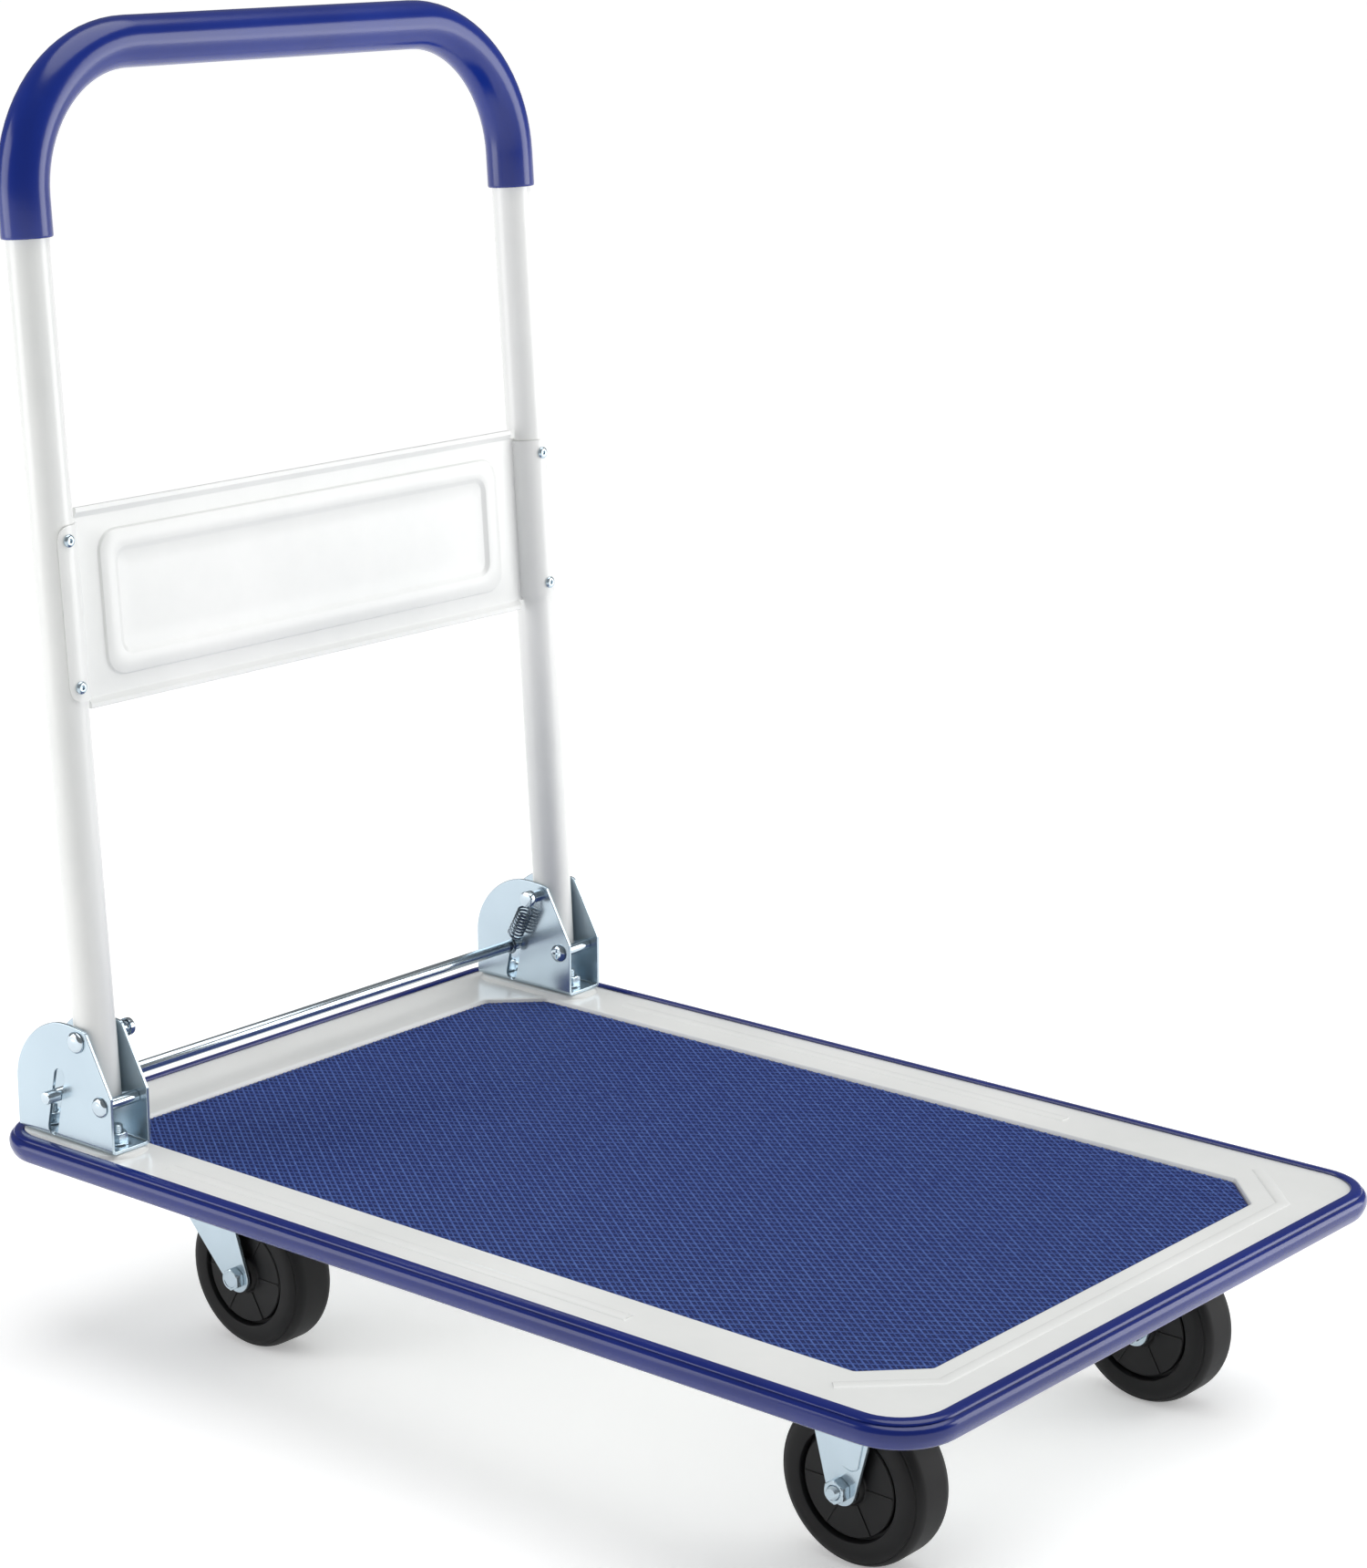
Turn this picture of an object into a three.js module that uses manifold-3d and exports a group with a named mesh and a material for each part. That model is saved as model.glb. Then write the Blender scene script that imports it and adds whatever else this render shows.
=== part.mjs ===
// Folding platform cart: a pressed steel deck with a glued mat and a push-on edge bumper, a tubular
// handle that folds flat over the deck, two swivel casters at the handle end and two rigid ones.
// Units are millimetres. +X is the nose, +Y is left, +Z is up, and the wheels stand on z = 0.
import * as THREE from "three";
import { mergeVertices } from "three/addons/utils/BufferGeometryUtils.js";
import Module from "manifold-3d";

const wasm = await Module();
wasm.setup();

const gap = 0.3; // between pieces that touch
const sheet = 1.6; // deck steel
const past = 5; // how far a cutter runs past what it cuts
const merge = 0.5; // how far two joined shapes run into each other

const deck = {
  length: 726.6, width: 473.8, corner: 33, bottom: 122.6, top: 134.9, rim: 3.2,
  padTop: 137.4, padLength: 94, padWidth: 37, padCorner: 18,
};
const mat = { x: 5.9, length: 629.8, width: 381.4, top: 133.3, thickness: 2.7, chamfer: 30 };
const ridge = {
  height: 1, width: 8, corner: 3.8, sideY: 214, sideFrom: -226, sideTo: 150,
  noseX: 336.5, noseY: 172.7, cornerX: 294.2, cornerY: 213.9,
};
const bumper = {
  length: 740.6, width: 487.8, corner: 40, bottom: 120.8, top: 136.9, round: 7.2, lip: 2.6,
};
const rail = { length: 420, width: 104, height: 9.9, gauge: 1.8 };

const wheel = {
  radius: 49.5, width: 34, tyreInner: 33.4, shoulder: 9, hubRadius: 33.1, hubWidth: 38,
  discWidth: 30.6, bossRadius: 11, bossSlope: 1.5, track: 145.6, bore: 4.3, frontX: 264.5, rearX: -220,
};
const caster = {
  plateLength: 92, plateWidth: 72, plateCorner: 6, plateTop: 118.2, plateGauge: 2.5, kingX: -256,
  forkGauge: 2.5, legInner: 20, legRound: 10, crownTop: 108, ringRadius: 24,
  kingRadius: 5.5, kingDrop: 0.4, headRadius: 9, headHeight: 2,
  swivelRear: -29, swivelFront: 28, rigidHalf: 27,
};
const axle = { radius: 4, head: 7.5, headHeight: 5.5, nut: 7.5, nutHeight: 6.2, stub: 2.6 };

const lean = THREE.MathUtils.degToRad(3.5); // the upright handle leans back by this much
const pivot = { x: -292.3, z: 206.3, pin: 4, headRadius: 7, headHeight: 3 };
const handle = {
  halfSpan: 213.3, topS: 608.5, bend: 89, bendSteps: 7, sides: 16, radius: 13.25, wall: 1.3,
  tailS: -42, tailSweep: 39.6, pinHole: 4.4,
};
const grip = { radius: 16.05, startS: 496.5 };
const panel = {
  centerS: 269, height: 125.2, halfWidth: 199, gauge: 1.2, wingHeight: 109, wingCorner: 9, wingPast: 30,
  hemHeight: 4, hemDepth: 3.2, emboss: 1.6, outerHalfWidth: 178.6, outerHeight: 90, outerCorner: 13,
  innerHalfWidth: 166, innerHeight: 65, innerCorner: 8, hemInset: 3, faceOverlap: 0.9,
  rivetS: 45.3, rivetRadius: 4, rivetHeight: 1.5, rivetTail: 2,
};

const bracket = {
  outerY: 229.3, innerY: 197.3, gauge: 2.3, bottom: 137.7, rearX: -351.2, shoulderZ: 171, crownX: -305,
  top: 216, crownEndX: -299, noseTopX: -284.6, noseTopZ: 214.5, breakX: -262.5, breakZ: 175.1, bow: 0.5,
};
const stop = {
  x: -272.2, z: 168, pin: 2.9, sleeve: 3.9, bore: 3.2, headRadius: 6.5, headHeight: 2.5, screwHead: 6.3,
};
const bar = { x: -313.3, z: 167.4, radius: 4.2, halfLength: 239.2, edge: 1 };
const slot = { topZ: 180.5, bottomZ: 144.4, radius: 4.7, topX: -310.3, bottomX: -318.4 };
const post = { length: 12.5, neck: 3.6, neckFrom: 4.4, neckTo: 8.4, head: 5.8, edge: 1 };
const spring = {
  wire: 0.8, coil: 5, turns: 8, perTurn: 7, sides: 4, y: 190.9, coilFrom: 0.25, coilTo: 0.77,
  hookSteps: 6, hookTurn: Math.PI * 1.1,
};
const bolt = { frontX: -276, rearX: -338, radius: 3.9, head: 7, headHeight: 5.2, nutHeight: 7.1, stub: 4.8 };

const finish = {
  white: [0xecedec, 0.35, 0.1], blue: [0x2b3e96, 0.5, 0], mat: [0x36478f, 0.8, 0],
  zinc: [0xc9d6dd, 0.3, 0.85], tread: [0x222224, 0.75, 0], plastic: [0x1c1c1f, 0.55, 0],
};

const cart = new THREE.Group();

// The handle is drawn upright about the pivot, and this group tilts it back.
const handleFrame = new THREE.Group();
handleFrame.position.set(pivot.x, 0, pivot.z);
handleFrame.rotation.y = -lean;
cart.add(handleFrame);

// Adds a solid to a group as a named mesh.
function add(name, solid, look, group = cart) {
  const mesh = solid.getMesh();
  const shape = new THREE.BufferGeometry();
  shape.setAttribute("position", new THREE.BufferAttribute(mesh.vertProperties, 3));
  shape.setIndex(new THREE.BufferAttribute(mesh.triVerts, 1));
  const flat = shape.toNonIndexed();
  flat.computeVertexNormals();
  const [color, roughness, metalness] = finish[look];
  const node = new THREE.Mesh(flat, new THREE.MeshStandardMaterial({ color, roughness, metalness }));
  node.name = name;
  group.add(node);
}

// A group at a place on the cart, for pieces drawn about their own centre.
function placed(x, y, z) {
  const group = new THREE.Group();
  group.position.set(x, y, z);
  cart.add(group);
  return group;
}

// Turns a three.js geometry into a solid for adding, subtracting and intersecting.
function solidOf(geometry) {
  const bare = geometry.clone();
  bare.deleteAttribute("normal");
  bare.deleteAttribute("uv");
  const merged = mergeVertices(bare, 1e-4);
  return new wasm.Manifold(new wasm.Mesh({
    numProp: 3,
    vertProperties: merged.attributes.position.array,
    triVerts: new Uint32Array(merged.index.array),
  }));
}

const join = (solids) => solids.reduce((all, next) => all.add(next));
const cut = (solid, cutters) => cutters.reduce((left, next) => left.subtract(next), solid);

function box(x0, x1, y0, y1, z0, z1) {
  const block = new THREE.BoxGeometry(x1 - x0, y1 - y0, z1 - z0);
  return solidOf(block.translate((x0 + x1) / 2, (y0 + y1) / 2, (z0 + z1) / 2));
}

// A prism that stands on z0 and ends at z1.
function prism(shape, z0, z1, curveSegments = 6) {
  const block = new THREE.ExtrudeGeometry(shape, { depth: z1 - z0, bevelEnabled: false, curveSegments });
  return solidOf(block.translate(0, 0, z0));
}

// A prism drawn in x and z, from y0 to y1.
function sidePrism(shape, y0, y1, curveSegments = 6) {
  const block = new THREE.ExtrudeGeometry(shape, { depth: y1 - y0, bevelEnabled: false, curveSegments });
  return solidOf(block.rotateX(Math.PI / 2).translate(0, y1, 0));
}

function polygon(points) {
  return new THREE.Shape(points.map(([x, y]) => new THREE.Vector2(x, y)));
}

function roundedRectangle(length, width, r) {
  const [x, y] = [length / 2, width / 2];
  const shape = new THREE.Shape();
  shape.moveTo(-x + r, -y).lineTo(x - r, -y);
  shape.absarc(x - r, -y + r, r, -Math.PI / 2, 0);
  shape.absarc(x - r, y - r, r, 0, Math.PI / 2);
  shape.absarc(-x + r, y - r, r, Math.PI / 2, Math.PI);
  shape.absarc(-x + r, -y + r, r, Math.PI, Math.PI * 1.5);
  return shape;
}

// A turned piece about the Z axis: profile points are [radius, height].
function turned(profile, sides = 12) {
  const points = profile.map(([r, h]) => new THREE.Vector2(r, h));
  return solidOf(new THREE.LatheGeometry(points, sides).rotateX(Math.PI / 2));
}

// A plain rod along Z.
const rod = (radius, z0, z1, sides = 12) => turned([[0, z0], [radius, z0], [radius, z1], [0, z1]], sides);

// Turns a piece built along +Z so that it runs along +Y (side 1) or -Y (side -1) through x, y, z.
const alongY = (solid, x, y, z, side = 1) => solid.rotate([-90 * side, 0, 0]).translate([x, y, z]);

// A hollow or solid bar swept through stations that are each one straight step apart.
class StationCurve extends THREE.Curve {
  constructor(stations) {
    super();
    this.stations = stations;
  }
  getPoint(t, target = new THREE.Vector3()) {
    const last = this.stations.length - 1;
    const i = Math.min(Math.round(t * last), last);
    return target.copy(this.stations[i]);
  }
  getPointAt(u, target) {
    return this.getPoint(u, target);
  }
  getTangentAt(u, target = new THREE.Vector3()) {
    const last = this.stations.length - 1;
    const i = Math.round(u * last);
    const ahead = this.stations[Math.min(i + 1, last)];
    return target.copy(ahead).sub(this.stations[Math.max(i - 1, 0)]).normalize();
  }
}

function swept(stations, radius, sides, inner = 0) {
  const ring = (r) => Array.from({ length: sides }, (_, i) => {
    const a = ((i + 0.5) * 2 * Math.PI) / sides;
    return new THREE.Vector2(r * Math.cos(a), r * Math.sin(a));
  });
  const shape = new THREE.Shape(ring(radius));
  if (inner) shape.holes.push(new THREE.Path(ring(inner)));
  const path = new StationCurve(stations);
  return solidOf(new THREE.ExtrudeGeometry(shape, { extrudePath: path, steps: stations.length - 1 }));
}

// ---- Deck, mat and bumper ----

function matOutline(grow) {
  const [x, y] = [mat.length / 2 + grow, mat.width / 2 + grow];
  const c = mat.chamfer + grow * (2 - Math.SQRT2);
  return polygon([
    [mat.x - x + c, -y], [mat.x + x - c, -y], [mat.x + x, -y + c], [mat.x + x, y - c],
    [mat.x + x - c, y], [mat.x - x + c, y], [mat.x - x, y - c], [mat.x - x, -y + c],
  ]);
}

const deckShape = (grow) =>
  roundedRectangle(deck.length + 2 * grow, deck.width + 2 * grow, deck.corner + grow);

const recess = mat.top - mat.thickness - gap;
const padX = (bracket.rearX + bracket.breakX) / 2;
const padY = (bracket.outerY + bracket.innerY) / 2;

// A straight raised rib on the border between two points.
function rib(x0, y0, x1, y1) {
  const length = Math.hypot(x1 - x0, y1 - y0) + ridge.width;
  const outline = roundedRectangle(length, ridge.width, ridge.corner);
  const strip = prism(outline, deck.top - gap, deck.top + ridge.height, 3);
  const turn = THREE.MathUtils.radToDeg(Math.atan2(y1 - y0, x1 - x0));
  return strip.rotate([0, 0, turn]).translate([(x0 + x1) / 2, (y0 + y1) / 2, 0]);
}

function deckPlate() {
  const skin = prism(deckShape(0), deck.bottom, deck.top);
  const under = recess - sheet;
  const hollow = join([
    prism(deckShape(-sheet), deck.bottom - past, under),
    prism(deckShape(-sheet), under - merge, deck.top - sheet)
      .subtract(prism(matOutline(sheet), under - past, deck.top)),
  ]);
  const raised = [1, -1].flatMap((side) => [
    prism(roundedRectangle(deck.padLength, deck.padWidth, deck.padCorner), deck.top - sheet, deck.padTop)
      .translate([padX, side * padY, 0]),
    rib(ridge.sideFrom, side * ridge.sideY, ridge.sideTo, side * ridge.sideY),
    rib(ridge.cornerX, side * ridge.cornerY, ridge.noseX, side * ridge.noseY),
    rib(ridge.noseX, 0, ridge.noseX, side * ridge.noseY),
  ]);
  const holes = [];
  for (const side of [1, -1])
    for (const x of [bolt.frontX, bolt.rearX])
      holes.push(rod(bolt.radius + gap, deck.bottom, deck.padTop + past).translate([x, side * padY, 0]));
  return cut(join([skin, ...raised]), [hollow, prism(matOutline(0), recess, deck.top + past), ...holes]);
}

function bumperRing() {
  const { length, width, corner, bottom, top, round, lip } = bumper;
  const blank = new THREE.ExtrudeGeometry(
    roundedRectangle(length - 2 * round, width - 2 * round, corner - round),
    {
      depth: top - bottom - 2 * round, bevelThickness: round, bevelSize: round,
      bevelSegments: 3, curveSegments: 6,
    },
  ).translate(0, 0, bottom + round);
  return cut(solidOf(blank), [
    prism(deckShape(gap), deck.bottom - gap, deck.top + gap),
    prism(deckShape(-deck.rim), deck.bottom, top + past),
    prism(deckShape(-lip), bottom - past, deck.bottom),
  ]);
}

// A channel across the underside, open towards the deck, that a pair of casters bolts to.
function crossRail(x) {
  const top = recess - sheet - gap;
  const [half, side] = [rail.length / 2, rail.width / 2];
  const blank = box(x - side, x + side, -half, half, top - rail.height, top);
  const inside = box(x - side + rail.gauge, x + side - rail.gauge, -half - past, half + past,
    top - rail.height + rail.gauge, top + past);
  return blank.subtract(inside);
}

add("deck_plate", deckPlate(), "white");
add("deck_mat", prism(matOutline(-gap), recess + gap, mat.top), "mat");
add("bumper", bumperRing(), "blue");
add("cross_rail_front", crossRail(wheel.frontX), "white");
add("cross_rail_rear", crossRail(caster.kingX), "white");

// ---- Handle, drawn upright with the pivot at its origin ----

function handleStations(startS) {
  const { halfSpan, topS, bend, bendSteps } = handle;
  const half = [new THREE.Vector3(0, halfSpan, startS)];
  for (let i = 0; i <= bendSteps; i++) {
    const a = (i / bendSteps) * (Math.PI / 2);
    const [across, up] = [bend * Math.cos(a), bend * Math.sin(a)];
    half.push(new THREE.Vector3(0, halfSpan - bend + across, topS - bend + up));
  }
  return [...half, ...half.map((p) => new THREE.Vector3(p.x, -p.y, p.z)).reverse()];
}

// Turns a piece built along +Z so that it runs along +X through x, y, z.
const alongX = (solid, x, y, z) => solid.rotate([0, 90, 0]).translate([x, y, z]);

const rivetAt = (solid, side, up) =>
  alongX(solid, 0, side * handle.halfSpan, panel.centerS + up * panel.rivetS);

const rivetHoles = () => [1, -1].flatMap((side) => [1, -1].map((up) =>
  rivetAt(rod(panel.rivetRadius / 2 + gap, 0, 2 * handle.radius), side, up)));

function handleTube() {
  const { radius, wall, sides, tailS, tailSweep, halfSpan } = handle;
  const tube = swept(handleStations(tailS), radius, sides, radius - wall);
  const reach = halfSpan + 2 * radius;
  const pinHole = alongY(rod(handle.pinHole, -reach, reach), 0, 0, 0);
  const tails = [1, -1].map((side) => {
    const keep = alongY(rod(tailSweep, -radius - past, radius + past, 60), 0, side * halfSpan, 0);
    const [y0, y1] = [side * halfSpan - radius - past, side * halfSpan + radius + past];
    return box(2 * tailS, -2 * tailS, y0, y1, 2 * tailS, 0).subtract(keep);
  });
  return cut(tube, [pinHole, ...tails, ...rivetHoles()]);
}

// A rounded plate that faces forward, centred on the panel.
const slab = (halfWidth, height, corner, x0, x1) =>
  alongX(prism(roundedRectangle(height, 2 * halfWidth, corner), x0, x1, 4), 0, 0, panel.centerS);

// The panel's wing: a strip bent from the tube's inner side round its front.
function wing(side) {
  const inner = handle.radius + gap;
  const outer = inner + panel.gauge;
  const shape = new THREE.Shape();
  const end = Math.PI / 2 - THREE.MathUtils.degToRad(panel.wingPast);
  shape.absarc(0, 0, outer, Math.PI, end, true);
  shape.absarc(0, 0, inner, end, Math.PI, false);
  const half = panel.wingHeight / 2;
  const strip = prism(shape, panel.centerS - half, panel.centerS + half, 10).rotate([0, 0, -90]);
  const turnedOut = side > 0 ? strip.mirror([0, 1, 0]) : strip;
  const trim = slab(panel.halfWidth + 2 * outer, panel.wingHeight, panel.wingCorner, -past, 2 * outer);
  const reach = handle.halfSpan + outer * Math.sin(THREE.MathUtils.degToRad(panel.wingPast)) + gap;
  const corners = slab(reach, panel.wingHeight, panel.wingCorner, -2 * outer, 2 * outer);
  return turnedOut.translate([0, side * handle.halfSpan, 0]).intersect(trim).intersect(corners);
}

function handlePanel() {
  const { gauge, emboss, height, halfWidth, hemHeight, hemDepth, hemInset, centerS } = panel;
  const edge = halfWidth + panel.faceOverlap;
  const face = box(-gauge / 2, gauge / 2, -edge, edge, centerS - height / 2, centerS + height / 2);
  const hems = [1, -1].map((up) => {
    const s = centerS + up * (height - hemHeight) / 2;
    const [y0, y1] = [hemInset - halfWidth, halfWidth - hemInset];
    return box(-gauge / 2, hemDepth - gauge / 2, y0, y1, s - hemHeight / 2, s + hemHeight / 2);
  });
  const outer = (shrink, x0, x1) => slab(panel.outerHalfWidth - shrink, panel.outerHeight - 2 * shrink,
    panel.outerCorner - shrink, x0, x1);
  const inner = (grow, x0, x1) => slab(panel.innerHalfWidth + grow, panel.innerHeight + 2 * grow,
    panel.innerCorner + grow, x0, x1);
  const raised = outer(0, -gauge / 2, gauge / 2 + emboss);
  const behind = outer(gauge, -gauge - past, emboss - gauge / 2);
  const well = inner(gauge, -gauge / 2, gauge / 2 + emboss);
  const dip = inner(0, gauge / 2, emboss + past);
  const body = join([face, ...hems, raised]).subtract(behind).add(well).subtract(dip);
  return cut(join([body, wing(1), wing(-1)]), rivetHoles());
}

function panelRivet(side, up) {
  const { rivetRadius, rivetHeight, rivetTail, gauge } = panel;
  const face = handle.radius + gauge + 2 * gap;
  const tail = handle.radius - handle.wall - rivetTail;
  const profile = [
    [0, tail], [rivetRadius / 2, tail], [rivetRadius / 2, face], [rivetRadius, face],
    [rivetRadius * 0.7, face + rivetHeight], [0, face + rivetHeight],
  ];
  return rivetAt(turned(profile), side, up);
}

const gripShell = swept(handleStations(grip.startS), grip.radius, handle.sides, handle.radius + gap);
add("handle_tube", handleTube(), "white", handleFrame);
add("grip_sleeve", gripShell, "blue", handleFrame);
add("handle_panel", handlePanel(), "white", handleFrame);

// ---- Hinge brackets, pins, springs and release bar ----

function plateOutline() {
  const b = bracket;
  const shape = new THREE.Shape();
  const [bowX, bowZ] = [b.crownX - b.bow * (b.crownX - b.rearX), b.shoulderZ + b.bow * (b.top - b.shoulderZ)];
  shape.moveTo(b.rearX, b.bottom).lineTo(b.breakX, b.bottom).lineTo(b.breakX, b.breakZ);
  shape.lineTo(b.noseTopX, b.noseTopZ).lineTo(b.crownEndX, b.top).lineTo(b.crownX, b.top);
  shape.bezierCurveTo(bowX, b.top, b.rearX, bowZ, b.rearX, b.shoulderZ);
  return shape;
}

function slotOutline() {
  const along = new THREE.Vector2(slot.topX - slot.bottomX, slot.topZ - slot.bottomZ);
  const a = along.angle();
  const shape = new THREE.Shape();
  shape.absarc(slot.topX, slot.topZ, slot.radius, a - Math.PI / 2, a + Math.PI / 2);
  shape.absarc(slot.bottomX, slot.bottomZ, slot.radius, a + Math.PI / 2, a + Math.PI * 1.5);
  return shape;
}

function hingeBracket(side) {
  const { outerY, innerY, gauge, bottom, rearX, breakX, top } = bracket;
  const mid = (outerY + innerY) / 2;
  const half = (outerY - innerY) / 2;
  const solid = sidePrism(plateOutline(), side * mid - half, side * mid + half, 9);
  const inside = box(rearX - past, breakX + past, side * mid - half + gauge, side * mid + half - gauge,
    bottom + gauge, top + past);
  const across = (radius, x, z) => alongY(rod(radius, -half - past, half + past), x, side * mid, z);
  const boltHoles = [bolt.frontX, bolt.rearX].map((x) =>
    rod(bolt.radius + gap, bottom - past, bottom + gauge + past).translate([x, side * mid, 0]));
  return cut(solid, [
    inside, across(pivot.pin + gap, pivot.x, pivot.z), across(stop.pin + gap, stop.x, stop.z),
    sidePrism(slotOutline(), side * mid - half - past, side * mid + half + past, 8), ...boltHoles,
  ]);
}

// The pin the handle turns on, with a rivet head outside and a grooved spring post inside.
function pivotPin(side) {
  const [out, into] = [bracket.outerY + gap, bracket.innerY];
  const { pin, headRadius, headHeight } = pivot;
  const profile = [
    [0, into - post.length], [post.head - post.edge, into - post.length],
    [post.head, into - post.length + post.edge],
    [post.head, into - post.neckTo], [post.neck, into - post.neckTo], [post.neck, into - post.neckFrom],
    [pin, into - post.neckFrom], [pin, out], [headRadius, out], [headRadius, out + headHeight / 3],
    [headRadius * 0.6, out + headHeight], [0, out + headHeight],
  ];
  return alongY(turned(profile), pivot.x, 0, pivot.z, side);
}

function stopPin(side) {
  const [out, into] = [bracket.outerY + gap, bracket.innerY - gap];
  const { pin, headRadius, headHeight, screwHead } = stop;
  const profile = [
    [0, into - headHeight], [screwHead * 0.7, into - headHeight], [screwHead, into - headHeight / 3],
    [screwHead, into], [pin, into], [pin, out], [headRadius, out], [headRadius, out + headHeight / 3],
    [headRadius * 0.6, out + headHeight], [0, out + headHeight],
  ];
  return alongY(turned(profile), stop.x, 0, stop.z, side);
}

function stopSleeve(side) {
  const [y0, y1] = [bracket.innerY + bracket.gauge + gap, bracket.outerY - bracket.gauge - gap];
  const profile = [[stop.bore, y0], [stop.sleeve, y0], [stop.sleeve, y1], [stop.bore, y1], [stop.bore, y0]];
  return alongY(turned(profile), stop.x, 0, stop.z, side);
}

// A bolt up through the deck and the bracket, with its nut drawn as one piece with it on top.
function bracketBolt(side, x) {
  const seat = bracket.bottom + bracket.gauge + gap;
  const under = deck.top - sheet - gap;
  const head = rod(bolt.head, under - bolt.headHeight, under, 6);
  const nut = rod(bolt.head, seat, seat + bolt.nutHeight, 6);
  const shank = rod(bolt.radius, under - merge, seat + bolt.nutHeight + bolt.stub);
  return join([head, nut, shank]).translate([x, side * padY, 0]);
}

// A coil between the pin's post and the bar, with a hook round each.
function returnSpring(side) {
  const from = new THREE.Vector3(pivot.x, 0, pivot.z);
  const to = new THREE.Vector3(bar.x, 0, bar.z);
  const along = to.clone().sub(from).normalize();
  const length = to.distanceTo(from);
  const across = new THREE.Vector3(-along.z, 0, along.x);
  const out = new THREE.Vector3(0, 1, 0);
  const at = (s, a, o) =>
    from.clone().addScaledVector(along, s).addScaledVector(across, a).addScaledVector(out, o);
  const stations = [];
  const { hookSteps, hookTurn } = spring;
  const topHook = post.neck + gap + spring.wire;
  const endHook = bar.radius + gap + spring.wire;
  for (let i = 0; i <= hookSteps; i++) {
    const a = hookTurn * (1 - i / hookSteps);
    stations.push(at(topHook * Math.cos(a), -topHook * Math.sin(a), 0));
  }
  const steps = spring.turns * spring.perTurn;
  const [s0, s1] = [length * spring.coilFrom, length * spring.coilTo];
  for (let i = 0; i <= steps; i++) {
    const a = (i / steps) * spring.turns * 2 * Math.PI;
    const s = s0 + (s1 - s0) * (i / steps);
    stations.push(at(s, -spring.coil * Math.cos(a + Math.PI), spring.coil * Math.sin(a)));
  }
  for (let i = 0; i <= hookSteps; i++) {
    const a = (i / hookSteps) * hookTurn;
    stations.push(at(length - endHook * Math.cos(a), endHook * Math.sin(a), 0));
  }
  return swept(stations, spring.wire, spring.sides).translate([0, side * spring.y, 0]);
}

const sides = [["left", 1], ["right", -1]];
for (const [name, side] of sides) {
  for (const [level, up] of [["upper", 1], ["lower", -1]])
    add(`panel_rivet_${level}_${name}`, panelRivet(side, up), "zinc", handleFrame);
  add(`hinge_bracket_${name}`, hingeBracket(side), "zinc");
  add(`pivot_pin_${name}`, pivotPin(side), "zinc");
  add(`stop_pin_${name}`, stopPin(side), "zinc");
  add(`stop_sleeve_${name}`, stopSleeve(side), "zinc");
  add(`bracket_bolt_front_${name}`, bracketBolt(side, bolt.frontX), "zinc");
  add(`bracket_bolt_rear_${name}`, bracketBolt(side, bolt.rearX), "zinc");
  add(`return_spring_${name}`, returnSpring(side), "zinc");
}
const barShape = turned([
  [0, -bar.halfLength], [bar.radius - bar.edge, -bar.halfLength], [bar.radius, bar.edge - bar.halfLength],
  [bar.radius, bar.halfLength - bar.edge], [bar.radius - bar.edge, bar.halfLength], [0, bar.halfLength],
]);
add("release_bar", alongY(barShape, 0, 0, 0), "zinc", placed(bar.x, 0, bar.z));

// ---- Casters ----

// A leg of a fork: a straight-sided blade that ends in a round about the axle.
function legOutline(axleX, rearTopX, frontTopX, topZ) {
  const r = caster.legRound;
  const tangent = (x, sign) => {
    const reach = Math.hypot(x - axleX, topZ - wheel.radius);
    return Math.atan2(topZ - wheel.radius, x - axleX) + sign * Math.acos(r / reach);
  };
  const [a0, a1] = [tangent(rearTopX, 1), tangent(frontTopX, -1) + 2 * Math.PI];
  const shape = new THREE.Shape();
  shape.moveTo(frontTopX, topZ).lineTo(rearTopX, topZ);
  shape.absarc(axleX, wheel.radius, r, a0, a1);
  return shape;
}

// Two legs joined across the top by a crown.
function forkLegs(axleX, rearTopX, frontTopX, topZ) {
  const outer = caster.legInner + caster.forkGauge;
  const blank = sidePrism(legOutline(axleX, rearTopX, frontTopX, topZ), -outer, outer, 10);
  const reach = Math.max(frontTopX, axleX + caster.legRound) + past;
  const between = box(rearTopX - past, reach, -caster.legInner, caster.legInner, 0, topZ - caster.forkGauge);
  const axleHole = alongY(rod(axle.radius + gap, -outer - past, outer + past), axleX, 0, wheel.radius);
  return cut(blank, [between, axleHole]);
}

function casterPlate(x) {
  const outline = roundedRectangle(caster.plateLength, caster.plateWidth, caster.plateCorner);
  return prism(outline, caster.plateTop - caster.plateGauge, caster.plateTop, 3).translate([x, 0, 0]);
}

const kingBore = () =>
  rod(caster.kingRadius + gap, caster.crownTop / 2, caster.plateTop + past).translate([caster.kingX, 0, 0]);

function swivelPlate() {
  const low = caster.crownTop + gap;
  const ring = rod(caster.ringRadius, low, caster.plateTop - caster.plateGauge + merge, 24);
  return casterPlate(caster.kingX).add(ring.translate([caster.kingX, 0, 0])).subtract(kingBore());
}

function swivelFork() {
  const [rear, front] = [caster.kingX + caster.swivelRear, caster.kingX + caster.swivelFront];
  return forkLegs(wheel.rearX, rear, front, caster.crownTop).subtract(kingBore());
}

// The rivet that holds the fork to its plate and lets it swivel.
function kingPin() {
  const { headRadius, headHeight, kingRadius, kingX } = caster;
  const low = caster.crownTop - caster.forkGauge - gap;
  const rise = caster.plateTop - caster.kingDrop;
  const profile = [
    [0, low - headHeight], [headRadius * 0.9, low - headHeight], [headRadius, low], [kingRadius, low],
    [kingRadius, rise], [0, rise],
  ];
  return turned(profile).translate([kingX, 0, 0]);
}

function rigidFork() {
  const low = caster.plateTop - caster.plateGauge + merge;
  const legs = forkLegs(wheel.frontX, wheel.frontX - caster.rigidHalf, wheel.frontX + caster.rigidHalf, low);
  return legs.add(casterPlate(wheel.frontX));
}

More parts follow.
